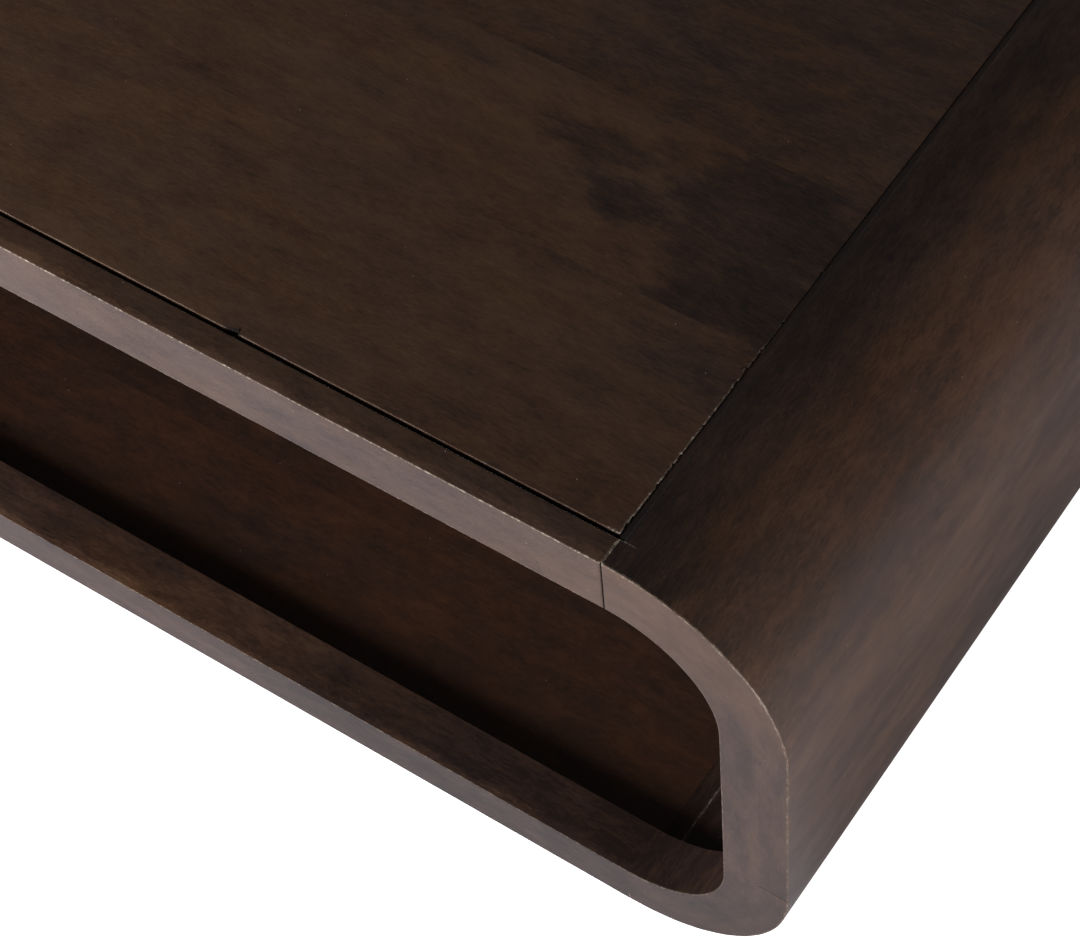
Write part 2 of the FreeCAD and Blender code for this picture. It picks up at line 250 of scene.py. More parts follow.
# %% Board surface
BOARD_SPACING = 5 * MM
ROUND_STEPS = np.linspace(0, 1, 5)
SQUARE = (0, 0, 0, 0)
FLAT_MARGIN = 5 * MM
FADE = 1.2 * MM
FADED_ARRIS = 0.15
ON_FACE = 0.2 * MM
END_GAP = 0.8 * MM
CHIP_STEP = 0.2 * MM


def edge_stations(low, high, spacing, chips):
    """Shares of a run from nought to one, evenly spaced, with one more close to each end, and
    with one at both ends of each chip and just past its steep end."""
    even = np.linspace(0, 1, max(2, int((high - low) / spacing)))
    close = END_GAP / (high - low)
    torn = np.array([(start, end, end + CHIP_STEP) for start, end in chips]).ravel()
    shares = (torn - low) / (high - low)
    return np.unique(np.r_[even, close, 1 - close, shares[(shares > close) & (shares < 1 - close)]])


def board_surface(low, high, order, outward, ease, seed, step=SQUARE, drop=SQUARE,
                  across_spacing=BOARD_SPACING, waves=EASE_WAVES, unevenness=0.5, chips=()):
    """Plank as nested rectangles. order is the axes along the fibres, across them and through
    the plank; ease, step and drop are given for the four edges (across low, along high, across
    high, along low). A row with parameter s is set in by ease * s^2 and lies ease * (1 - s)^2
    below the face, so it starts square to the edge and ends flush with the face. A chip is a
    splinter lost from one edge, given by edge number, start, end and depth: the edge is set back
    evenly more from the start to the end, and jumps forward again there."""
    plane, through = list(order[:2]), order[2]
    inner, outer = (low[through], high[through])[::outward]
    u, w = (
        edge_stations(low[axis], high[axis], spacing, [chip[1:3] for chip in chips if chip[0] % 2 == turn])
        for turn, axis, spacing in zip((0, 1), plane, (BOARD_SPACING, across_spacing))
    )

    # One ring of points round the plank: shares of its length and width, and the edge number.
    turns = ((u[:-1], 0.0), (1.0, w[:-1]), (u[:0:-1], 1.0), (0.0, w[:0:-1]))
    ring = np.concatenate([np.stack(np.broadcast_arrays(*pair), -1) for pair in turns])
    side = np.repeat(np.arange(4), [len(u) - 1, len(w) - 1] * 2)
    run = ring * (high - low)[plane]
    uneven = 1 + unevenness * ripple(run.sum(axis=1) + side, seed, waves)
    here = np.where(side % 2 == 0, *(low[plane] + run).T)
    set_back = np.zeros(len(ring))
    for chip_side, start, end, depth in chips:
        lost = np.where(here > end + CHIP_STEP / 2, 0, (here - start) / (end - start))
        set_back = np.maximum(set_back, depth * lost * (side == chip_side))

    # The rows: three on the underside, two on the wall, the round-over, and two on the face.
    row = np.arange(len(ROUND_STEPS) + 7)
    on_top, on_wall = row > 2, (row == 3) | (row == 4)
    set_in = np.r_[np.zeros(5), ROUND_STEPS ** 2, 1, 1][:, None]
    sunk = np.r_[np.zeros(5), (1 - ROUND_STEPS) ** 2, 0, 0][:, None]
    stepped = (row > 3)[:, None]
    flat = np.r_[FLAT_MARGIN, FADE, np.zeros(len(row) - 4), FADE, FLAT_MARGIN][:, None]
    arris = np.r_[np.zeros(5), np.ones(len(ROUND_STEPS)), FADED_ARRIS, 0][:, None]

    # Rows and ring together: how far each row is set in on each edge, and how far it lies below.
    turning = np.flatnonzero(np.diff(side, prepend=3))
    edge = np.where(on_top[:, None], ease, 0)
    edge_here, drop_here = edge[:, side], np.asarray(drop)[side]
    edge_here[:, turning] = np.maximum(edge, np.roll(edge, 1, axis=1))
    drop_here[turning] = np.maximum(drop, np.roll(drop, 1))
    inset = np.asarray(step) * stepped + edge * set_in + flat
    first, last = low[plane] + inset[:, [3, 0]], high[plane] - inset[:, [1, 2]]
    rough = (edge_here * (uneven - 1) * set_in + set_back * stepped) * (row < row[-1])[:, None]
    pull = (ring == 0) * 1.0 - (ring == 1)
    eased = edge_here * uneven
    wall = np.where(drop_here > 0, drop_here, eased + FADE)
    below = np.where(on_wall[:, None], wall, np.minimum(eased * sunk, wall))
    loops = np.zeros((len(row), len(ring), 3))
    loops[..., plane] = first[:, None] + ring * (last - first)[:, None] + pull * rough[..., None]
    loops[..., through] = np.where(on_top[:, None], outer - outward * below, inner)

    # Two flat grids close the underside and the face.
    grid = np.stack(np.meshgrid(u, w, indexing="ij"), -1).reshape(-1, 2)
    caps = np.zeros((2, len(grid), 3))
    caps[..., plane] = first[[0, -1], None] + grid * (last - first)[[0, -1], None]
    caps[..., through] = [[inner], [outer]]
    cap_faces = np.array(grid_faces(len(u), len(w), False)) + loops.size // 3
    faces = grid_faces(*loops.shape[:2]) + cap_faces.tolist() + (cap_faces + len(grid)).tolist()
    points = np.concatenate([loops.reshape(-1, 3), caps.reshape(-1, 3)])
    return points, faces, np.r_[(arris * (edge_here > ON_FACE)).ravel(), np.zeros(2 * len(grid))]


print("a board has", len(ROUND_STEPS) + 7, "rows of points round it")

# %% [markdown]
# ## Top panel
# The boards of the top differ in tone, and the second one turns almost black towards its right
# end, where the saw came near the heart of the tree. The field for that heartwood is a soft
# patch on the plank's own surface, broken up later by the shader. The groove at the ends of the
# boards is shallow and ragged, with small chips along it, its floor is painted dark as shade,
# and its arris is worn pale near the front. One splinter is missing from the front edge, and
# the gap it left is painted dark as shade.

# %% Fields of a top board
FLAT_WISE = (X, Y, Z)
GROOVE_WIDTH = 3 * MM
END_GROOVE_DEPTH = 0.5 * MM
LEFT_TONES = (0.26, 0.2, 0.09, 0.06, 0.06)
RIGHT_TONES = (0.06, 0.12, -0.04, 0.0, 0.04)
TONE_TURNS = (0.29, 0.46)
SLOPES = (0.03, -0.04, 0.025, -0.015, 0.03)
END_WEAR = (-0.33, -0.22, -0.17, -0.1), (0.9, 0.6, 0.3, 0.15)
# Painted shade on the floor of the end groove, given from front to rear.
FLOOR_SHADE = (-0.33, -0.28, -0.19, -0.1), (1.0, 0.25, 0.2, 0.75)
SIDE_WEAR = 0.22
NOTCH_START, NOTCH_END, NOTCH_DEPTH = 0.2035, 0.2145, 2.2 * MM
OPEN_JOINT_Y = node_box("top_board_4")[0][Y]
OPEN_JOINT_START, OPEN_JOINT_RUN, OPEN_JOINT = 0.36, 0.05, 0.6
HEART_BOARD = 2
HEART_GAIN, HEART_LIMIT = 1.3, 1.1
HEART_SPOTS = (
    (0.428, -0.1, 0.066, 0.055), (0.312, -0.1, 0.036, 0.015), (0.357, -0.126, 0.035, 0.014),
    (0.428, -0.165, 0.032, 0.022), (0.465, -0.15, 0.04, 0.03),
)


def groove_floor_shade(y):
    """Painted shade on the floor of the end groove, strong at the front and rear, faint between."""
    return np.interp(y, *FLOOR_SHADE)


def heart_patch(x, y):
    """Dark patches, each fading from its centre as exp(-distance^2), with the distance counted
    in the spot's own reaches along and across the plank."""
    fades = [bell(x - spot_x, along) * bell(y - spot_y, across)
             for spot_x, spot_y, along, across in HEART_SPOTS]
    return np.minimum(HEART_GAIN * np.max(fades, axis=0), HEART_LIMIT)


def top_board_fields(points, arris, number):
    """Fields of one top board: its tone from left to right, the worn arris, and as seams the
    painted shade on the floor of the end groove, the joint that has opened at its right end, and
    the painted shade where the splinter is missing."""
    x, y, z = points.T
    near_end = np.abs(x) > seam_x - 2 * FLAT_MARGIN
    in_notch = (x > NOTCH_START) * (x < NOTCH_END + 2 * CHIP_STEP)
    wear = np.where(near_end, np.interp(y, *END_WEAR), SIDE_WEAR) * (1 - in_notch)
    # The floor of the end groove, where shade is painted through the seam field.
    in_end_groove = (x > seam_x - GROOVE_WIDTH) * (z < top_z - END_GROOVE_DEPTH / 2)
    opening = np.clip((x - OPEN_JOINT_START) / OPEN_JOINT_RUN, 0, OPEN_JOINT)
    open_joint = (np.abs(y - OPEN_JOINT_Y) < ON_FACE) * opening
    # Painted shade in the gap left by the splinter, carried in the seam field.
    notch = in_notch * (arris > 0.5) * (number == 1)
    return wooden_fields(
        grain_field(points, FLAT_WISE, 10 + number, SLOPES[number - 1]),
        tone=np.interp(x, TONE_TURNS, (LEFT_TONES[number - 1], RIGHT_TONES[number - 1])),
        arris=arris * wear,
        seam=np.max([groove_floor_shade(y) * in_end_groove, open_joint, notch], axis=0),
        heart=heart_patch(x, y) if number == HEART_BOARD else 0.0,
    )


print("dark patches in the second board:", len(HEART_SPOTS))

# %% Build the top boards
GROOVE_DEPTH = 6 * MM
PANEL_ARRIS, END_ARRIS = 0.5 * MM, 0.3 * MM
END_GROOVE_WIDTH = 1.4 * MM
FIRST_END_DEPTH = 0.8 * MM
END_SPACING = 1.5 * MM
RAGGED = 0.9
RAGGED_WAVES = (0.061, 0.023, 0.011, 0.0057)
FRONT_EDGE, RIGHT_EDGE = 0, 1
CHIPS = 18
LEAST_CHIP, MOST_CHIP = (-0.33, 2 * MM, 0.3 * MM), (-0.1, 7 * MM, 1.1 * MM)

chip_draws = np.random.default_rng(7).uniform(LEAST_CHIP, MOST_CHIP, (CHIPS, 3))
end_chips = [(RIGHT_EDGE, start, start + length, depth) for start, length, depth in chip_draws]
top_pieces = []
for number in range(1, len(SLOPES) + 1):
    node = f"top_board_{number}"
    first, last = number == 1, number == len(SLOPES)
    end_depth = FIRST_END_DEPTH if first else END_GROOVE_DEPTH
    ease = [PANEL_ARRIS * first, END_ARRIS, PANEL_ARRIS * last, END_ARRIS]
    points, faces, arris = board_surface(
        *node_box(node), FLAT_WISE, 1, ease, 40 + number,
        step=[GROOVE_WIDTH * first, END_GROOVE_WIDTH, GROOVE_WIDTH * last, END_GROOVE_WIDTH],
        drop=[GROOVE_DEPTH * first, end_depth, GROOVE_DEPTH * last, end_depth],
        across_spacing=END_SPACING, waves=RAGGED_WAVES, unevenness=RAGGED,
        chips=end_chips + [(FRONT_EDGE, NOTCH_START, NOTCH_END, NOTCH_DEPTH)] * first)
    fields = top_board_fields(points, arris, number)
    top_pieces.append(add_piece(f"{node}_wood", node, points, faces, fields))
print("top boards:", [len(piece.data.polygons) for piece in top_pieces], "faces")

# %% [markdown]
# ## Shelf, ends, stiles and bearers
# These are the same kind of plank with other axes. The shelf lies flat like the top. The end
# boards stand on edge with their fibres running front to rear, and the stiles stand upright.
# The figure of an end runs on over its joints, so its planks share one grain field, measured
# along the line that climbs from the base round the end to the top.

# %% Build the shelf boards
SHELF_TONES = (-0.08, -0.11, -0.03, -0.1, -0.08)
SHELF_LIFT = (0.1, 0.25, 0.4), (-0.1, 0.1, 0.02)
SHELF_SLOPE = 0.01

shelf_pieces = []
for number, tone in enumerate(SHELF_TONES, start=1):
    node = f"shelf_board_{number}"
    points, faces, arris = board_surface(*node_box(node), FLAT_WISE, 1, SQUARE, 60 + number)
    grain = grain_field(points, FLAT_WISE, 20 + number, SHELF_SLOPE * number)
    fields = wooden_fields(grain, tone=tone + np.interp(points[:, X], *SHELF_LIFT), arris=arris)
    shelf_pieces.append(add_piece(f"{node}_wood", node, points, faces, fields))
print("shelf boards:", len(shelf_pieces))

# %% Grain at the ends of the table
FACE_BAND = 0.3 * MM
quarter_run = corner_radius * np.pi / 2
side_height = upper_centre_z - lower_centre_z


def facing(points):
    """One on the front and rear faces of the table, zero elsewhere."""
    return (np.abs(points[..., Y]) > rear_y - FACE_BAND).astype(float)


def end_grain(depth, climb, radius, end, on_face):
    """Place inside the wood of one end of the table: along the depth, along the line that climbs
    from the base rail round the end to the top rail, and through the shell. Corners, stiles and
    end boards share it, so the figure runs on over their joints. On the front and rear faces the
    fibres follow the climb, as on the edge of the rails."""
    over_end = np.stack(np.broadcast_arrays(depth, climb, radius), -1)
    on_edge = np.stack(np.broadcast_arrays(climb, radius, depth), -1)
    return np.where(on_face[..., None] > 0, on_edge, over_end) + tree_place(300 + end)


def plank_end_grain(points, end):
    """The same place for an upright plank, whose height is the climb."""
    climb = quarter_run + points[:, Z] - lower_centre_z
    radius = corner_radius - (half_length - np.abs(points[:, X]))
    return end_grain(points[:, Y], climb, radius, end, facing(points))


print(f"the grain of an end climbs {(2 * quarter_run + side_height) / MM:.0f} mm")

# %% Build the end boards, stiles and bearers
ENDS = {"left": -1, "right": 1}
OPEN_FACES = {"front": -1, "rear": 1}
ARRIS, BEARER_ARRIS = 0.8 * MM, 1.5 * MM
SIDE_TONES = (-0.02, 0.02)
# Painted shade: the end boards darker towards the bottom.
SIDE_PAINTED_SHADE = (lower_centre_z, upper_centre_z), (-0.2, 0.0)
STILE_TONE, BEARER_TONE = 0.02, 0.1
SIDE_WORN, STILE_WORN = 0.4, 0.36
BEARER_WISE = (Y, X, Z)

end_pieces = []
for end_name, end in ENDS.items():
    for number, tone in enumerate(SIDE_TONES, start=1):
        node = f"side_board_{end_name}_{number}"
        ease = [0, ARRIS, 0, ARRIS]
        points, faces, arris = board_surface(*node_box(node), (Y, Z, X), end, ease, 80 + number)
        # Painted shade, darker towards the bottom.
        tone = tone + np.interp(points[:, Z], *SIDE_PAINTED_SHADE)
        fields = wooden_fields(plank_end_grain(points, end), tone=tone, arris=SIDE_WORN * arris)
        end_pieces.append(add_piece(f"{node}_wood", node, points, faces, fields))
    for face_name, face in OPEN_FACES.items():
        node = f"stile_{end_name}_{face_name}"
        ease = [ARRIS, 0, ARRIS, 0]
        points, faces, arris = board_surface(*node_box(node), (Z, Y, X), -end, ease, 90 + face)
        tone = STILE_TONE * facing(points)
        fields = wooden_fields(plank_end_grain(points, end), tone=tone, arris=STILE_WORN * arris)
        end_pieces.append(add_piece(f"{node}_wood", node, points, faces, fields))
    node = f"bearer_{end_name}"
    ease = [BEARER_ARRIS, 0, BEARER_ARRIS, 0]
    points, faces, arris = board_surface(*node_box(node), BEARER_WISE, -1, ease, 95 + end)
    fields = wooden_fields(grain_field(points, BEARER_WISE, 46 + end), tone=BEARER_TONE, arris=arris)
    end_pieces.append(add_piece(f"{node}_wood", node, points, faces, fields))
print("end boards, stiles and bearers:", len(end_pieces))

# %% [markdown]
# ## Rails
# A rail is one section carried along a straight line. The section is the L shape with its
# rabbet, and each of its corners is softened by the same round-over as the boards, with a
# size that wanders along the rail like a line left by a sanding block. Where a top rail meets
# the corner the glue line has opened, so its face falls back a little there.

# %% Softened sections
CORNER_RUN = np.r_[-1, ROUND_STEPS, 2]


def round_over(corner, before, after, size):
    """Points round one corner for every station: corner + size * ((1-s)^2 before + s^2 after),
    with one more point a little further out on each side. size has one value per station."""
    s = np.clip(CORNER_RUN, 0, 1)
    back = (1 - s) ** 2 * size[:, None] + np.where(CORNER_RUN < 0, FADE, 0)
    ahead = s ** 2 * size[:, None] + np.where(CORNER_RUN > 1, FADE, 0)
    corner, before, after = (part[..., None, :] for part in (corner, before, after))
    return corner + back[..., None] * before + ahead[..., None] * after


def softened_section(corners, sizes, flat_spacing=math.inf):
    """Closed outline through the corners for every station, each corner rounded over, with
    evenly spaced points on the flats between them. A corner has one place for all stations, or
    a place for each."""
    before = np.roll(corners, 1, axis=0) - corners
    after = np.roll(corners, -1, axis=0) - corners
    before = before / np.linalg.norm(before, axis=-1, keepdims=True)
    lengths = np.linalg.norm(after, axis=-1, keepdims=True)
    parts = [round_over(*group) for group in zip(corners, before, after / lengths, sizes)]
    outline = []
    for part, ahead, length in zip(parts, parts[1:] + parts[:1], lengths):
        share = np.linspace(0, 1, max(1, int(length.max() / flat_spacing)) + 1)[1:-1, None]
        outline += [part, part[:, -1:] * (1 - share) + ahead[:, :1] * share]
    return np.concatenate(outline, axis=1)


print("a softened corner has", len(CORNER_RUN), "points")

# %% Rail surface
RAIL_SPACING, RAIL_FLATS = 4 * MM, 3 * MM
RAIL_EASES = np.array([0.55, 0.4, 0.0, 0.0, 0.0, 0.6]) * MM
END_RUN = np.array([0, 0.3, 0.6, 1.1, 2.0, 2.6, 2.9, 3.2, 3.6, 4.2]) * MM
SEAM_DEPTH, SEAM_WIDTH = 1.2 * MM, 0.45 * MM
FACE_FALL = 1.0 * MM


def face_fall(to_seam, to_face):
    """How far a face falls back beside an open glue line: deepest on the line itself, and only
    in the outermost part of the wood."""
    return SEAM_DEPTH * bell(to_seam, SEAM_WIDTH) * edge_closeness(to_face, FACE_FALL)


def rail_surface(low, high, lip, face, level, seed):
    """L section in (inward, down) from the rail's outer edge, carried along X. The level is one
    for a top rail, and minus one for a base rail, whose section is turned over."""
    x = stations(low[X], high[X], RAIL_SPACING, np.r_[low[X] + END_RUN, high[X] - END_RUN])
    section = np.array([
        [0, 0], [rail_face, 0], [rail_face, skin],
        [lip_depth, skin], [lip_depth, skin + lip], [0, skin + lip],
    ])
    sizes = [wandering(ease, x, seed + number) for number, ease in enumerate(RAIL_EASES)]
    inward, down = np.moveaxis(softened_section(section, sizes, RAIL_FLATS), -1, 0)
    x = x[:, None]
    y = face * (rear_y - inward - face_fall(np.abs(seam_x - np.abs(x)), inward) * (level > 0))
    z = (top_z if level > 0 else base_z) - level * down
    return np.stack(np.broadcast_arrays(x, y, z), -1), tube_faces(*inward.shape), inward, down


print("points close to the end of a rail:", len(END_RUN))

# %% Build the rails
RAIL_SLOPE = 0.01
BASE_WEAR = 0.5
SEAM_REACH = 0.6 * MM
ARRIS_WIDTH, JOINT_ARRIS = 1.0 * MM, 1.2 * MM
RUB_REACH = 10 * MM
# Painted light on the front of the top rails near the corners, and painted shade over the base rails.
RAIL_END_PAINTED_LIGHT, BASE_PAINTED_SHADE = 0.3, -0.23
FACE_TONES_AND_LIGHT = (0.1, 0.3, 0.36, 0.47), (0.08, -0.05, 0.0, RAIL_END_PAINTED_LIGHT)
# Painted shade on top of the base rails, darker towards their ends.
BASE_TOP_PAINTED_SHADE = (0.1, 0.3, seam_x), (0.1, 0.0, -0.18)


def rail_fields(points, inward, down, lip, level, seed):
    """Fields of a rail from its outline: worn arrises on the open edge, a dark and a pale line
    where a top rail meets the corner, a rubbed band along the edge, and the tone along its run:
    on the front face of a top rail painted light, most towards its ends, and on a base rail
    painted shade, most on top towards its ends."""
    upper = level > 0
    from_middle = np.abs(points[..., X])
    end_gap = np.abs(seam_x - from_middle)
    on_face = inward < ON_FACE
    from_arris = np.minimum(np.hypot(inward, down), np.hypot(inward, down - skin - lip))
    worn = (1.0 if upper else BASE_WEAR) * edge_closeness(from_arris, ARRIS_WIDTH)
    at_joint = edge_closeness(end_gap, JOINT_ARRIS) * (down < ON_FACE) * upper
    handled = (down < 0.5 * skin) if upper else (down > 1.5 * skin)
    # The tone paints light on a top rail's front face and shade over a base rail.
    if upper:
        tone = np.interp(from_middle, *FACE_TONES_AND_LIGHT) * on_face
    else:
        tone = BASE_PAINTED_SHADE + np.interp(from_middle, *BASE_TOP_PAINTED_SHADE) * (1 - on_face)
    return wooden_fields(
        grain_field(points, FLAT_WISE, seed, RAIL_SLOPE), tone=tone, arris=np.maximum(worn, at_joint),
        seam=bell(end_gap, SEAM_REACH) * on_face * upper,
        rub=edge_closeness(inward, RUB_REACH) * handled * (1 - on_face),
    )


rail_pieces = []
for level_name, level, lip in (("top", 1, edge_lip), ("base", -1, base_lip)):
    for face_name, face in OPEN_FACES.items():
        node = f"{level_name}_rail_{face_name}"
        seed = 120 + 10 * level + face
        points, faces, inward, down = rail_surface(*node_box(node), lip, face, level, seed)
        fields = rail_fields(points, inward, down, lip, level, seed)
        rail_pieces.append(add_piece(f"{node}_wood", node, points, faces, fields))
print("rails:", [len(piece.data.polygons) for piece in rail_pieces], "faces")

# %% [markdown]
# ## Rounded corners
# Each corner is a quarter of a wooden pipe, glued up from staves with their fibres along the
# depth of the table and sanded round. Its section is a long thin rectangle, carried round a
# quarter turn. Because the fibres follow the axis, the grain is measured along the depth and
# round the arc, so that streaks run straight over the bend. The upper corners also hold the
# outer part of the shadow groove at the ends of the top.

# %% Quarter turns
QUARTERS = {("upper", "right"): 0, ("upper", "left"): 1, ("lower", "left"): 2, ("lower", "right"): 3}
QUARTER_STEPS = 72
CREASE_PLACE = 13 * MM
NEAR_CREASE = np.array([-0.5, 0, 0.5]) * MM
crease_angle = math.asin(CREASE_PLACE / (corner_radius - skin))


def quarter_stations(quarter, radius):
    """Angles through a quarter turn, closer together near both ends and near the crease, and
    for each angle the distances on the outer arc from its start and from the rail's end."""
    even = np.linspace(0, np.pi / 2, QUARTER_STEPS)
    near = np.r_[END_RUN / radius, crease_angle + NEAR_CREASE / radius]
    turned = np.unique(np.r_[even, near, np.pi / 2 - near])
    arc = turned * corner_radius
    return quarter * np.pi / 2 + turned, arc, arc if quarter in (1, 3) else arc[-1] - arc


def turned_points(row, end_name, angle, radius, depth, rail_end):
    """Points about the corner's centre line. The faces fall back at the open glue line, which is
    at the rail in an upper corner and at the end boards in a lower one."""
    upper = row == "upper"
    glue = rail_end if upper else rail_end.max() - rail_end
    y = depth - np.sign(depth) * face_fall(glue[:, None], rear_y - np.abs(depth))
    x = ENDS[end_name] * seam_x + radius * np.cos(angle)[:, None]
    z = (upper_centre_z if upper else lower_centre_z) + radius * np.sin(angle)[:, None]
    return np.stack([x, y, z], -1)


print("crease at", round(math.degrees(crease_angle), 1), "degrees from the rail")

# %% Corner surface
CORNER_SPACING, CORNER_MARGIN = 5 * MM, 4 * MM
CORNER_EASES = np.array([0.8, 0.8, 0.0, 0.0]) * MM
CORNER_WORN = 0.45
OUTER_BAND = 2 * MM
NEAR_LINE = np.array([-1.2, -0.6, -0.3, 0, 0.3, 0.6, 1.2]) * MM
GROOVE_SHARE = 3.2 * MM
HAIR = 0.1 * MM
RAIL_CHIP, PANEL_CHIP, CHIP_REACH = 0.15 * MM, 0.1 * MM, 1.1 * MM
GROOVE_WEAR = (-0.3, -0.1), (0.3, 0.0)


def corner_surface(row, end_name, quarter, seed):
    """Rectangle in (radius, depth) carried round the arc: the radius gives X and Z. At the rail
    the outer radius drops by a chipped ease, falling as (1 - distance / reach)^2. Beside the top
    panel it drops by the depth of the groove first, over the corner's share of its width."""
    angle, arc, rail_end = quarter_stations(quarter, corner_radius)
    section = np.array([
        [corner_radius, front_y], [corner_radius, rear_y],
        [corner_radius - skin, rear_y], [corner_radius - skin, front_y],
    ])
    sizes = [wandering(ease, arc, seed + number) for number, ease in enumerate(CORNER_EASES)]
    outline = softened_section(section, sizes)
    per_corner = len(CORNER_RUN)
    near_front = front_y + rail_face + NEAR_LINE
    rows = stations(front_y + CORNER_MARGIN, rear_y - CORNER_MARGIN, CORNER_SPACING,
                    np.r_[near_front, -near_front])
    face_run = np.stack([np.full(len(rows), corner_radius), rows], -1)
    face_run = np.broadcast_to(face_run, (len(angle),) + face_run.shape)
    outline = np.concatenate([outline[:, :per_corner], face_run, outline[:, per_corner:]], axis=1)

    radius, depth = np.moveaxis(outline, -1, 0)
    at_rail = np.abs(depth) > rear_y - rail_face
    outer = radius > corner_radius - OUTER_BAND
    past_groove = rail_end[:, None] - np.where(at_rail, 0, GROOVE_SHARE * (row == "upper"))
    closeness = edge_closeness(past_groove, CHIP_REACH) ** 2
    chipped = wandering(np.where(at_rail, RAIL_CHIP, PANEL_CHIP), depth, seed + 9, share=0.9)
    drop = np.where(past_groove < -HAIR, END_GROOVE_DEPTH, chipped * closeness) * outer
    points = turned_points(row, end_name, angle, radius - drop, depth, rail_end)

    on_arris = np.r_[0, np.full(len(ROUND_STEPS), CORNER_WORN), 0]
    arris = np.r_[on_arris, np.zeros(len(rows)), on_arris, np.zeros(2 * per_corner)]
    worn = np.where(at_rail, 1.0, np.interp(depth, *GROOVE_WEAR))
    at_groove = (closeness > 0.02) * (past_groove > -HAIR) * outer * worn
    return points, tube_faces(*radius.shape), np.maximum(arris, at_groove), outline, rail_end


print("the corner's share of the end groove:", round(GROOVE_SHARE / MM, 1), "mm")

# %% Fields of corners and lips
STAVES = 5
STAVE_TONES = (-0.33, -0.04, -0.01, -0.12, -0.04)
# Painted shade over the lower corners and their lips, darkest at the base rail.
LOWER_PAINTED_SHADE = (-0.36, -0.34, -0.3, -0.24, -0.2)
OVERCUT, OVERCUT_WIDTH = 13 * MM, 0.45 * MM
# Painted highlight along the crease inside a lower corner.
CREASE_HIGHLIGHT = 0.7
SMEAR_REACH, SMEAR_LEAST, SMEAR_MORE = 60 * MM, 0.05, 0.22
SIDE_GLUE = 0.7
STAIN, STAIN_REACH = 0.25, 6 * MM
FLOOR_SHARE = 0.6
WALL_WIDTH = 0.7 * MM
WALL_DARK_LINE = (-0.3, -0.1, 0.05), (0.95, 0.8, 0.6)


def groove_seam(rail_end, depth):
    """Darkening on the corner's side of the end groove: a stain that fades over the corner, painted
    shade on the groove's floor, and a dark line along its wall."""
    stain = STAIN * bell(rail_end, STAIN_REACH)
    # Painted shade on the groove's floor, a share of the board's.
    floor = FLOOR_SHARE * groove_floor_shade(depth) * (rail_end < GROOVE_SHARE - HAIR)
    wall = bell(rail_end - GROOVE_SHARE - WALL_WIDTH / 2, WALL_WIDTH) * np.interp(depth, *WALL_DARK_LINE)
    return np.maximum(np.maximum(stain, floor), wall)


def corner_fields(points, arris, outline, rail_end, end, lower):
    """Fields of a corner or lip from its outline (radius and depth) and its distance from the
    rail: the grain follows the arc and the staves decide the tone. In a lower corner that tone is
    painted shade, darkest at the base rail, and on the front and rear faces it is painted light
    near the top rail, falling to painted shade at the base. Dark seams show on the front and rear
    faces, and in the end groove a stain, painted shade on its floor and a dark line along its
    wall. Two pale lines are added to the arris: the hairline where the saw of the groove ran on,
    and a painted highlight along the crease inside a lower corner."""
    radius, depth = np.moveaxis(outline, -1, 0)
    rail_end, whole = rail_end[:, None], rail_end.max()
    on_face = facing(points)
    from_front = rear_y - np.abs(depth)
    outside = (np.abs(radius - corner_radius) < ON_FACE) * (not lower)
    inside = (np.abs(radius - corner_radius + skin) < ON_FACE) * lower

    middles = (np.arange(STAVES) + 0.5) / STAVES * whole
    # The upper staves keep their own tones; the lower ones carry painted shade.
    stave_tone_and_shade = np.interp(rail_end, middles, LOWER_PAINTED_SHADE if lower else STAVE_TONES)
    # Front and rear faces: painted light from the top rail, painted shade from the base rail, both fading
    # to the stile.
    painted_face_light_and_shade = np.interp(rail_end, [0, whole], [BASE_PAINTED_SHADE if lower else RAIL_END_PAINTED_LIGHT, STILE_TONE])
    ran_on = edge_closeness(rail_end, OVERCUT) ** 0.5 * (not lower)
    hairline = bell(from_front - rail_face, OVERCUT_WIDTH) * ran_on
    # Painted highlight along the crease inside a lower corner, put on the arris field.
    crease = bell(rail_end - crease_angle * corner_radius, SEAM_REACH) * inside * CREASE_HIGHLIGHT
    glue = bell(whole - rail_end, SEAM_REACH) * SIDE_GLUE if lower else bell(rail_end, SEAM_REACH)
    in_groove = groove_seam(rail_end, depth) * outside * (from_front > rail_face)
    smear = SMEAR_LEAST + SMEAR_MORE * edge_closeness(from_front, SMEAR_REACH)
    climb = rail_end if lower else 2 * quarter_run + side_height - rail_end
    return wooden_fields(
        end_grain(depth, climb, radius, end, on_face),
        tone=np.where(on_face > 0, painted_face_light_and_shade, stave_tone_and_shade),
        arris=np.max([arris, hairline, crease], axis=0),
        seam=np.maximum(glue * on_face, in_groove),
        rub=smear * outside * (1 - on_face),
    )


print("staves in a corner:", STAVES)

# %% Build the corners
corner_pieces = []
for (row, end_name), quarter in QUARTERS.items():
    node = f"corner_{row}_{end_name}"
    points, faces, *shape = corner_surface(row, end_name, quarter, 200 + 10 * quarter)
    fields = corner_fields(points, *shape, ENDS[end_name], row == "lower")
    corner_pieces.append(add_piece(f"{node}_wood", node, points, faces, fields))
print("corners:", [len(piece.data.polygons) for piece in corner_pieces], "faces")

# %% [markdown]
# ## Lip blocks
# A curved block behind each open edge makes the shell look twice as thick. In the upper corners
# its inner line is an arc about the same centre. In the lower corners the lip is thinner
# underneath, so the arc is dropped and a short straight piece joins it to the stile.

# %% Build the lip blocks
LIP_EASE, LIP_WORN = 0.5 * MM, 0.36
LEAST_ACROSS = 1e-6
inner_radius = corner_radius - skin - edge_lip
lower_drop = edge_lip - base_lip


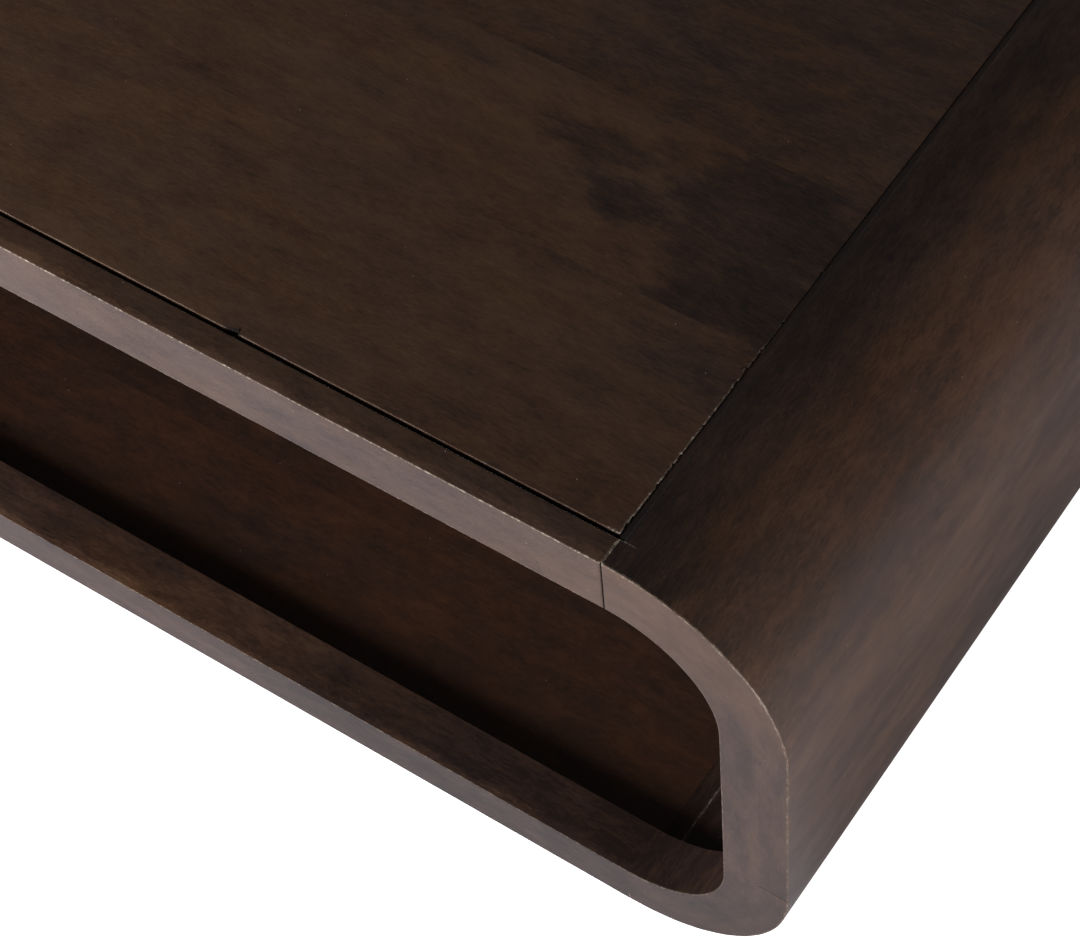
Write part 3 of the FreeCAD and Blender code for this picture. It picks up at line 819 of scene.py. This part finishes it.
def lip_inner_radius(angle, drop):
    """Distance from the corner's centre to the lip's inner line in each direction: the dropped
    arc where the direction points below the arc's centre, and the upright line above it."""
    across, rise = np.abs(np.cos(angle)), np.sin(angle)
    on_arc = -drop * rise + np.sqrt(inner_radius ** 2 - (drop * across) ** 2)
    upright = inner_radius / np.maximum(across, LEAST_ACROSS)
    return np.where(on_arc * rise <= -drop, on_arc, upright) if drop else on_arc


def lip_surface(row, end_name, quarter, face, seed):
    """Rectangle between the lip's inner line and the shell, carried round a quarter turn."""
    angle, arc, rail_end = quarter_stations(quarter, inner_radius)
    inner = lip_inner_radius(angle, 0 if row == "upper" else lower_drop)
    thickness = corner_radius - skin - inner
    outer_y, inner_y = face * rear_y, face * (rear_y - lip_depth)
    section = np.array([[0, outer_y], [1, outer_y], [1, inner_y], [0, inner_y]])
    corners = section[:, None] * np.stack([thickness, np.ones(len(angle))], -1)
    square = np.zeros(len(arc))
    sizes = [wandering(LIP_EASE, arc, seed, share=0.4), square, square, square]
    outline = softened_section(corners, sizes)
    outline[..., 0] += inner[:, None]
    radius, depth = np.moveaxis(outline, -1, 0)
    points = turned_points(row, end_name, angle, radius, depth, rail_end)
    arris = np.r_[0, np.full(len(ROUND_STEPS), LIP_WORN), np.zeros(1 + 3 * len(CORNER_RUN))]
    return points, tube_faces(*radius.shape), np.broadcast_to(arris, radius.shape), outline, rail_end


lip_pieces = []
for (row, end_name), quarter in QUARTERS.items():
    for face_name, face in OPEN_FACES.items():
        node = f"lip_{row}_{end_name}_{face_name}"
        points, faces, *shape = lip_surface(row, end_name, quarter, face, 400 + quarter)
        fields = corner_fields(points, *shape, ENDS[end_name], row == "lower")
        lip_pieces.append(add_piece(f"{node}_wood", node, points, faces, fields))
print("lip blocks:", [len(piece.data.polygons) for piece in lip_pieces], "faces")

# %% [markdown]
# ## Stained wood
# The finish is a dark walnut stain under a thin satin lacquer. A picture of wood would be the
# quick way, but it would repeat and could not bend round the corners. Noise stretched along
# the grain field gives clouds, streaks, fibres and pores at their real sizes instead. The
# pattern is a node group, so that every wooden material shares it with its own values.

# %% Helpers for shader nodes
FIRST_COLOUR, SECOND_COLOUR, MIXED_COLOUR = 6, 7, 2


def new_group(name, inputs, outputs):
    """Empty shader node group with named sockets, given as pairs of name and kind."""
    group = bpy.data.node_groups.new(name, "ShaderNodeTree")
    for direction, sockets in (("INPUT", inputs), ("OUTPUT", outputs)):
        for socket, kind in sockets:
            group.interface.new_socket(name=socket, in_out=direction, socket_type=f"NodeSocket{kind}")
    return group, group.nodes.new("NodeGroupInput").outputs, group.nodes.new("NodeGroupOutput").inputs


def fill(tree, socket, value):
    """Links an input to another node's output, or sets it to a plain value."""
    if isinstance(value, bpy.types.NodeSocket):
        tree.links.new(value, socket)
    else:
        socket.default_value = value


def put(tree, kind, *values, **named):
    """Adds a node. A keyword in small letters sets a property of the node, one with a capital
    fills the input of that name, and the plain values fill the first inputs in order."""
    node = tree.nodes.new(f"ShaderNode{kind}")
    for key, value in named.items():
        if key.islower():
            setattr(node, key, value)
        else:
            fill(tree, node.inputs[key], value)
    for socket, value in zip(node.inputs, values):
        fill(tree, socket, value)
    return node


def stretched_noise(tree, vector, stretch, detail=3.0, roughness=0.55):
    """Noise on a vector scaled by one factor per axis, so its spots become streaks."""
    scaled = put(tree, "VectorMath", vector, stretch, operation="MULTIPLY").outputs[0]
    noise = put(tree, "TexNoise", Vector=scaled, Scale=1.0, Detail=detail, Roughness=roughness)
    return noise.outputs["Fac"]


def ramp(tree, value, low, high, to_low=0.0, to_high=1.0):
    """Value mapped from one range to another and held at its ends."""
    return put(tree, "MapRange", value, low, high, to_low, to_high).outputs[0]


def maths(tree, operation, first, second):
    """Two values added, subtracted or multiplied."""
    return put(tree, "Math", first, second, operation=operation).outputs[0]


def blend(tree, factor, first, second, kind="MIX"):
    """Two colours mixed by a factor."""
    node = put(tree, "Mix", factor, data_type="RGBA", blend_type=kind)
    fill(tree, node.inputs[FIRST_COLOUR], first)
    fill(tree, node.inputs[SECOND_COLOUR], second)
    return node.outputs[MIXED_COLOUR]


print("node groups so far:", len(bpy.data.node_groups))

# %% Node group for the wood figure
NOISE_RANGE = (0.25, 0.75)
MEAN_LEVEL = 0.4
SWAY_SCALE, SWAY = 8.0, (0.0, 0.014, 0.014)
HEART_DEPTH = 0.42
COOL_TINT, WARM_TINT = (0.98, 1.0, 1.06, 1.0), (1.08, 1.0, 0.88, 1.0)
WAVE_HEIGHT = 2.5

# Each layer: spots per metre along, across and through the fibres, detail, roughness and swing.
FIGURE_LAYERS = {
    "clouds": ((5.0, 11.0, 11.0), 3.0, 0.5, 0.22),
    "mottle": ((30.0, 72.0, 72.0), 4.0, 0.6, 0.21),
    "streaks": ((13.0, 120.0, 120.0), 3.0, 0.6, 0.1),
    "flecks": ((140.0, 600.0, 600.0), 3.0, 0.65, 0.2),
    "fibres": ((330.0, 1900.0, 1900.0), 2.0, 0.6, 0.1),
}


def build_wood_figure():
    """Sum of noises at the sizes of clouds, mottling, streaks, flecks and fibres gives a level,
    and the level picks the colour between dark, middle and light stain."""
    group, source, sink = new_group(
        "wood_figure",
        [("Grain", "Vector"), ("Tone", "Float"), ("Heart", "Float"), ("Dark", "Color"),
         ("Middle", "Color"), ("Light", "Color")],
        [("Color", "Color"), ("Height", "Float"), ("Polish", "Float")],
    )
    grain = source["Grain"]
    wander = put(group, "TexNoise", Vector=grain, Scale=SWAY_SCALE, Detail=2.0).outputs["Color"]
    sway = put(group, "VectorMath", wander, SWAY, grain, operation="MULTIPLY_ADD").outputs[0]
    level = maths(group, "ADD", source["Tone"], MEAN_LEVEL)
    layers = {}
    for name, (stretch, detail, roughness, swing) in FIGURE_LAYERS.items():
        layers[name] = stretched_noise(group, sway, stretch, detail, roughness)
        level = maths(group, "ADD", level, ramp(group, layers[name], *NOISE_RANGE, -swing, swing))

    lobes = ramp(group, stretched_noise(group, sway, (34.0, 70.0, 70.0)), *NOISE_RANGE, -0.45, 0.45)
    heart = ramp(group, maths(group, "ADD", source["Heart"], lobes), 0.2, 0.8)
    level = maths(group, "SUBTRACT", level, maths(group, "MULTIPLY", heart, HEART_DEPTH))

    lower = blend(group, ramp(group, level, -0.05, 0.4), source["Dark"], source["Middle"])
    colour = blend(group, ramp(group, level, 0.35, 0.9), lower, source["Light"])
    warmth = stretched_noise(group, grain, (9.0, 22.0, 22.0), 3.0, 0.6)
    tint = blend(group, ramp(group, warmth, 0.35, 0.65), COOL_TINT, WARM_TINT)
    fill(group, sink["Color"], blend(group, 1.0, colour, tint, "MULTIPLY"))

    waves = stretched_noise(group, grain, (110.0, 160.0, 160.0), 2.0, 0.5)
    pores = maths(group, "ADD", layers["fibres"], layers["flecks"])
    fill(group, sink["Height"], maths(group, "ADD", pores, maths(group, "MULTIPLY", waves, WAVE_HEIGHT)))
    shine = maths(group, "ADD", layers["clouds"], layers["mottle"])
    fill(group, sink["Polish"], ramp(group, shine, 0.7, 1.3))
    return group


wood_figure = build_wood_figure()
print("wood figure group:", len(wood_figure.nodes), "nodes")

# %% [markdown]
# ## Wear
# Edges are where a finish goes first. The arris field says where the edge is, and noise breaks
# it into pale specks: rubbed wood, brightened to also stand as a painted highlight along the
# edges. The rub field lightens a wavy band beside the edges that are handled most. Seams work
# the other way: grime and old stain gather in the glue lines, so they are darker than the wood,
# and the same dark colour is painted as shade in the end groove and where a splinter is missing.

# %% Node group for worn edges and seams
PATCH_STRETCH, NICK_STRETCH = (34.0, 34.0, 34.0), (330.0, 330.0, 330.0)
# Dark colour for glue lines, and painted shade in the groove and the splinter's gap.
DIRT_AND_SHADE_COLOUR = (0.003, 0.002, 0.002, 1.0)


def build_edge_wear():
    """Pale specks on the arris, worn wood and painted highlight, a lighter ragged band where
    rubbed, and a dark line in the seam, grime and painted shade.
    """
    group, source, sink = new_group(
        "edge_wear_and_painted_light",
        [("Color", "Color"), ("Grain", "Vector"), ("Arris", "Float"), ("Seam", "Float"),
         ("Rub", "Float"), ("Bare", "Color"), ("Lift", "Color"), ("Amount", "Float")],
        [("Color", "Color")],
    )
    rub = source["Rub"]
    patches = stretched_noise(group, source["Grain"], PATCH_STRETCH, 4.0, 0.65)
    nicks = stretched_noise(group, source["Grain"], NICK_STRETCH, 2.0, 0.6)

    ragged = maths(group, "ADD", rub, ramp(group, patches, *NOISE_RANGE, -0.45, 0.45))
    ragged = maths(group, "ADD", ragged, ramp(group, nicks, 0.2, 0.8, -0.2, 0.2))
    band = maths(group, "MULTIPLY", ramp(group, ragged, 0.3, 0.62), ramp(group, rub, 0.0, 0.3))
    lifted = blend(group, 1.0, source["Color"], source["Lift"], "MULTIPLY")
    colour = blend(group, band, source["Color"], lifted)

    # Pale arris: worn wood, and a painted highlight along the edges.
    edge = maths(group, "MULTIPLY", ramp(group, source["Arris"], 0.2, 0.9), source["Amount"])
    worn_patches = ramp(group, patches, 0.35, 0.7, 0.05, 0.35)
    loss = maths(group, "ADD", ramp(group, nicks, 0.48, 0.68), worn_patches)
    colour = blend(group, maths(group, "MULTIPLY", edge, loss), colour, source["Bare"])

    # Dark seams: grime in glue lines, and painted shade in the groove and the splinter's gap.
    dirt_and_shade = maths(group, "MULTIPLY", source["Seam"], ramp(group, nicks, 0.25, 0.5, 0.6, 1.0))
    fill(group, sink["Color"], blend(group, dirt_and_shade, colour, DIRT_AND_SHADE_COLOUR))
    return group


edge_wear_and_painted_light = build_edge_wear()
print("edge wear group:", len(edge_wear_and_painted_light.nodes), "nodes")

# %% [markdown]
# A few pale specks of dust, nicks and small knots lie on every real table top. Each cell of a
# cellular texture holds one round spot, and a random number for the cell keeps only some of
# them. Nicks and knots are rarer and larger, and drawn out along the fibres.

# %% Node group for specks
FINE_CELLS, COARSE_CELLS = 125.0, 19.0
DRAWN_OUT = (0.5, 1.0, 1.0)
SHAKE_SCALE, SHAKE = 420.0, (0.002, 0.002, 0.002)
KNOT_COLOUR = (0.004, 0.0025, 0.002, 1.0)


def spots(tree, cells, near, far, strength, start, end):
    """Round spots in a cellular texture that fade from near to far, kept in the cells whose random
    number lies past the start."""
    number = put(tree, "SeparateColor", cells["Color"]).outputs[0]
    fade = ramp(tree, cells["Distance"], near, far, strength, 0.0)
    return maths(tree, "MULTIPLY", fade, ramp(tree, number, start, end))


def build_specks():
    """Dots round the points of two cellular textures: fine specks in about one cell out of six,
    and in the coarse one a pale nick in one cell out of six and a dark knot in another."""
    group, source, sink = new_group(
        "specks_and_nicks", [("Color", "Color"), ("Grain", "Vector"), ("Speck", "Color")],
        [("Color", "Color")])
    grain, speck = source["Grain"], source["Speck"]
    fine = put(group, "TexVoronoi", Vector=grain, Scale=FINE_CELLS).outputs
    colour = blend(group, spots(group, fine, 0.03, 0.055, 0.6, 0.84, 0.86), source["Color"], speck)
    drawn_out = put(group, "VectorMath", grain, DRAWN_OUT, operation="MULTIPLY").outputs[0]
    ragged = put(group, "TexNoise", Vector=grain, Scale=SHAKE_SCALE, Detail=2.0).outputs["Color"]
    shaken = put(group, "VectorMath", ragged, SHAKE, drawn_out, operation="MULTIPLY_ADD").outputs[0]
    coarse = put(group, "TexVoronoi", Vector=shaken, Scale=COARSE_CELLS).outputs
    colour = blend(group, spots(group, coarse, 0.02, 0.04, 0.5, 0.83, 0.84), colour, speck)
    colour = blend(group, spots(group, coarse, 0.02, 0.075, 0.8, 0.16, 0.15), colour, KNOT_COLOUR)
    fill(group, sink["Color"], colour)
    return group


specks_and_nicks = build_specks()
print("speck group:", len(specks_and_nicks.nodes), "nodes")

# %% [markdown]
# ## Lacquer
# The lacquer is satin: it mirrors the floor and the lamps as soft shapes, a little sharper on
# the lighter clouds of the wood. Its roughness stays above about 0.28 everywhere, because the
# denoiser treats smoother surfaces as mirrors, and patches on both sides of that limit would
# look crusty. Open seams and bare edges are rougher.

# %% Mix the wooden materials
RUB_LIFT = (1.6, 1.58, 1.5, 1.0)
SPECK_COLOUR = (0.22, 0.19, 0.16, 1.0)
DULLER, SHINIER = 0.05, 0.02
SEAM_ROUGHNESS, ARRIS_ROUGHNESS = 0.5, 0.2
RELIEF = 0.15 * MM
LACQUER_IOR = 1.42
DARK_STAIN = (0.0085, 0.0050, 0.0043, 1)


def new_material(name):
    """Material with its node tree and the inputs of its Principled shader."""
    material = bpy.data.materials.new(name)
    material.use_nodes = True
    return material, material.node_tree, material.node_tree.nodes["Principled BSDF"].inputs


def add_relief(tree, surface, height, strength, distance):
    """Bump from a height on the shader's normal."""
    bump = put(tree, "Bump", Strength=strength, Distance=distance, Height=height)
    fill(tree, surface["Normal"], bump.outputs["Normal"])


def stained_wood(name, dark, middle, light, bare_and_glint, wear, roughness, relief):
    """Stain from the figure group, worn by the wear group, dusted, under a satin lacquer."""
    material, tree, surface = new_material(name)
    grain = put(tree, "Attribute", attribute_name="grain").outputs["Vector"]
    tone, arris, seam, heart, rub = (
        put(tree, "Attribute", attribute_name=field).outputs["Fac"] for field in FIELDS)
    figure = put(tree, "Group", node_tree=wood_figure, Grain=grain, Tone=tone, Heart=heart,
                 Dark=dark, Middle=middle, Light=light).outputs
    worn = put(tree, "Group", node_tree=edge_wear_and_painted_light, Color=figure["Color"], Grain=grain, Arris=arris,
               Seam=seam, Rub=rub, Bare=bare_and_glint, Lift=RUB_LIFT, Amount=wear).outputs["Color"]
    dusted = put(tree, "Group", node_tree=specks_and_nicks, Color=worn, Grain=grain, Speck=SPECK_COLOUR)
    fill(tree, surface["Base Color"], dusted.outputs["Color"])
    satin = ramp(tree, figure["Polish"], 0.0, 1.0, roughness + DULLER, roughness - SHINIER)
    open_seam = maths(tree, "MULTIPLY", seam, SEAM_ROUGHNESS)
    bared = maths(tree, "ADD", open_seam, maths(tree, "MULTIPLY", arris, ARRIS_ROUGHNESS))
    fill(tree, surface["Roughness"], maths(tree, "ADD", satin, bared))
    add_relief(tree, surface, figure["Height"], relief, RELIEF)
    surface["IOR"].default_value = LACQUER_IOR
    return material


# The pale edge colours are worn wood, made light enough to stand as a painted highlight on the edges.
frame_wood = stained_wood(
    "walnut_stained_frame", dark=DARK_STAIN, middle=(0.0230, 0.0123, 0.0083, 1),
    light=(0.040, 0.0230, 0.0148, 1), bare_and_glint=(0.21, 0.17, 0.135, 1), wear=1.0, roughness=0.31, relief=0.3)
panel_wood = stained_wood(
    "walnut_stained_panel", dark=DARK_STAIN, middle=(0.0242, 0.0123, 0.0079, 1),
    light=(0.0445, 0.024, 0.0136, 1), bare_and_glint=(0.21, 0.175, 0.145, 1), wear=1.0, roughness=0.34, relief=0.35)
shelf_wood = stained_wood(
    "walnut_stained_shelf", dark=(0.0095, 0.0047, 0.0034, 1), middle=(0.0205, 0.0090, 0.0050, 1),
    light=(0.033, 0.015, 0.0082, 1), bare_and_glint=(0.075, 0.06, 0.05, 1), wear=0.5, roughness=0.35, relief=0.35)
bearer_wood = stained_wood(
    "stained_underside", dark=(0.05, 0.03, 0.02, 1), middle=(0.1, 0.065, 0.04, 1),
    light=(0.17, 0.115, 0.075, 1), bare_and_glint=(0.3, 0.22, 0.15, 1), wear=0.3, roughness=0.6, relief=0.4)
for piece in top_pieces:
    piece.data.materials.append(panel_wood)
for piece in shelf_pieces:
    piece.data.materials.append(shelf_wood)
for piece in end_pieces + rail_pieces + corner_pieces + lip_pieces:
    piece.data.materials.append(bearer_wood if "bearer" in piece.name else frame_wood)

# %% [markdown]
# ## Glides
# Six small plastic glides keep the base off the floor. A glide is turned or moulded, so its
# surface is a profile carried round a circle: a rounded foot, a flat rim, and the recess that
# hides the head of the nail.

# %% Build the glides
GLIDE_RADIUS = 8 * MM
GLIDE_STEPS, BEND_STEPS = 48, 6
FOOT_ROUND = 1.0 * MM
NAIL_RECESS, RECESS_DEPTH, RECESS_EASE = 3.1 * MM, 1.8 * MM, 0.3 * MM
pad_low, pad_high = node_box("glide_pads")


def glide_surface(centre_x, centre_y):
    """Profile of radius and height turned about an upright axis; its ends lie on the axis."""
    turn = np.linspace(0, 2 * np.pi, GLIDE_STEPS, endpoint=False)
    bend = np.linspace(0, np.pi / 2, BEND_STEPS)
    thickness = pad_high[Z] - pad_low[Z]
    radius = np.r_[
        0, NAIL_RECESS - RECESS_EASE, NAIL_RECESS, NAIL_RECESS + RECESS_EASE,
        GLIDE_RADIUS - FOOT_ROUND + FOOT_ROUND * np.sin(bend), GLIDE_RADIUS, 0,
    ][:, None]
    height = np.r_[
        RECESS_DEPTH, RECESS_DEPTH, RECESS_EASE, 0,
        FOOT_ROUND - FOOT_ROUND * np.cos(bend), thickness, thickness,
    ][:, None] + pad_low[Z]
    x, y = centre_x + radius * np.cos(turn), centre_y + radius * np.sin(turn)
    return np.stack(np.broadcast_arrays(x, y, height), -1)


glides = np.array([
    glide_surface(along * (pad_high[X] - GLIDE_RADIUS), across * (pad_high[Y] - GLIDE_RADIUS))
    for across in (-1, 1) for along in (-1, 0, 1)
])
count, rows, columns = glides.shape[:3]
first_points = np.arange(count)[:, None, None] * rows * columns
glide_faces = (np.array(grid_faces(rows, columns)) + first_points).reshape(-1, 4).tolist()
glide_piece = add_piece("moulded_glides", "glide_pads", glides, glide_faces, {})
print("glides:", count, "with", len(glide_piece.data.polygons), "faces")

# %% [markdown]
# ## Joinery and hardware
# The dowels and splines are pale beech, the screws and nails zinc-plated steel, the glides grey
# plastic. They are small or hidden, so all but the glides keep their solids and only get a
# finish. They carry no grain field, and their noises read the object's own coordinates instead.

# %% Finishes for joinery and hardware
BEECH = {"Dark": (0.2, 0.12, 0.07, 1), "Middle": (0.36, 0.24, 0.15, 1), "Light": (0.5, 0.36, 0.24, 1)}
BEECH_TONE, BEECH_ROUGHNESS = 0.1, 0.55


def beech_wood(name):
    """Pale wood from the figure group, dull and unlacquered."""
    material, tree, surface = new_material(name)
    place = put(tree, "TexCoord").outputs["Object"]
    figure = put(tree, "Group", node_tree=wood_figure, Grain=place, Tone=BEECH_TONE, Heart=0.0, **BEECH)
    fill(tree, surface["Base Color"], figure.outputs["Color"])
    surface["Roughness"].default_value = BEECH_ROUGHNESS
    add_relief(tree, surface, figure.outputs["Height"], 0.3, 0.1 * MM)
    return material


def mottled(name, metallic, noise, turn, dark, light, roughness, texture, relief):
    """Two colours and two roughnesses mixed by one noise, and a bump from another. Both noises
    are given by stretch, detail and roughness, and the relief by strength and distance."""
    material, tree, surface = new_material(name)
    place = put(tree, "TexCoord").outputs["Object"]
    clouds = stretched_noise(tree, place, *noise)
    surface["Metallic"].default_value = metallic
    fill(tree, surface["Base Color"], blend(tree, ramp(tree, clouds, *turn), dark, light))
    fill(tree, surface["Roughness"], ramp(tree, clouds, 0.3, 0.7, *roughness))
    add_relief(tree, surface, stretched_noise(tree, place, *texture), *relief)
    return material


beech = beech_wood("beech_joinery")
zinc = mottled(
    "zinc_plated_steel", metallic=1.0, noise=((420.0, 420.0, 420.0), 4.0, 0.6), turn=(0.35, 0.65),
    dark=(0.34, 0.33, 0.30, 1), light=(0.58, 0.57, 0.54, 1), roughness=(0.48, 0.28),
    texture=((300.0, 300.0, 2600.0), 2.0, 0.5), relief=(0.2, 0.05 * MM))
plastic = mottled(
    "grey_glide_plastic", metallic=0.0, noise=((160.0, 160.0, 160.0), 4.0, 0.65), turn=(0.35, 0.7),
    dark=(0.05, 0.048, 0.045, 1), light=(0.11, 0.105, 0.1, 1), roughness=(0.4, 0.62),
    texture=((900.0, 900.0, 900.0), 3.0, 0.6), relief=(0.25, 0.08 * MM))
glide_piece.data.materials.append(plastic)

node_finishes = {
    "rail_dowels": beech, "stile_dowels": beech, "panel_end_splines": beech, "top_board_splines": beech,
    "shelf_board_splines": beech, "side_splines": beech,
    "top_screws": zinc, "shelf_screws": zinc, "bearer_screws": zinc, "glide_nails": zinc,
}
for name, finish in node_finishes.items():
    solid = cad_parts[name]
    solid.data.materials.clear()
    solid.data.materials.append(finish)
print("finished solids:", ", ".join(node_finishes))

# %% [markdown]
# ## Floor and light
# The picture was cut out on white, so the floor is plain white to the camera. To the table it
# is an ordinary pale floor: it takes the shadow of the table and throws light back, and the
# satin front faces mirror it. The dark band behind the base rail shows that the main light
# stood low in front, so a large softbox stands there. A second lamp in its place only fills and
# leaves no reflection. A warmer softbox stands on the right, and a weak one behind keeps the
# rear from going black.

# %% Floor and world
FLOOR_REACH = 6.0
FLOOR_COLOUR, FLOOR_ROUGHNESS = (0.452, 0.44, 0.48, 1), 0.9
WHITE = (1, 1, 1, 1)
WORLD_COLOUR, WORLD_STRENGTH = (1, 0.98, 0.96, 1), 0.09

floor_corners = FLOOR_REACH * np.array([(-1, -1, 0), (1, -1, 0), (1, 1, 0), (-1, 1, 0)])
floor_mesh = bpy.data.meshes.new("pale_floor")
floor_mesh.from_pydata(floor_corners.tolist(), [], [(0, 1, 2, 3)])
floor = bpy.data.objects.new("pale_floor", floor_mesh)
bpy.context.scene.collection.objects.link(floor)
floor_paint, floor_tree, floor_surface = new_material("pale_floor_paint")
floor_surface["Base Color"].default_value = FLOOR_COLOUR
floor_surface["Roughness"].default_value = FLOOR_ROUGHNESS
floor_surface["Emission Color"].default_value = WHITE
ray = put(floor_tree, "LightPath")
fill(floor_tree, floor_surface["Emission Strength"], ray.outputs["Is Camera Ray"])
floor_mesh.materials.append(floor_paint)

world = bpy.data.worlds.new("studio")
world.use_nodes = True
world.node_tree.nodes["Background"].inputs["Color"].default_value = WORLD_COLOUR
world.node_tree.nodes["Background"].inputs["Strength"].default_value = WORLD_STRENGTH
bpy.context.scene.world = world
print("floor at z = 0, reaching", FLOOR_REACH, "m to each side")

# %% Lamps
WARM_LIGHT = (1.0, 0.92, 0.84)
FRONT_PLACE, FRONT_TARGET, FRONT_SIZE = (-1.4, -2.65, 1.1), (0.1, 0, 0.2), (1.8, 1.0)


def softbox(name, place, target, size, power):
    """Rectangular lamp that faces a point."""
    lamp = bpy.data.lights.new(name, "AREA")
    lamp.shape = "RECTANGLE"
    lamp.size, lamp.size_y = size
    lamp.energy = power
    holder = bpy.data.objects.new(name, lamp)
    holder.location = place
    holder.rotation_euler = (Vector(target) - Vector(place)).to_track_quat("-Z", "Y").to_euler()
    bpy.context.scene.collection.objects.link(holder)
    return holder


softbox("front_softbox", FRONT_PLACE, FRONT_TARGET, FRONT_SIZE, power=90)
matt_box = softbox("front_fill", FRONT_PLACE, FRONT_TARGET, FRONT_SIZE, power=240)
matt_box.visible_glossy = False
right_box = softbox("right_softbox", (3.0, -0.9, 0.36), (0.4, 0, 0.2), (1.4, 0.5), power=143)
right_box.data.color = WARM_LIGHT
softbox("rear_softbox", (-0.2, 2.9, 0.36), (0, 0, 0.2), (1.8, 0.5), power=42)
bpy.context.scene.view_settings.view_transform = "Standard"
print("softboxes in front, on the right and behind, and a fill lamp in front")
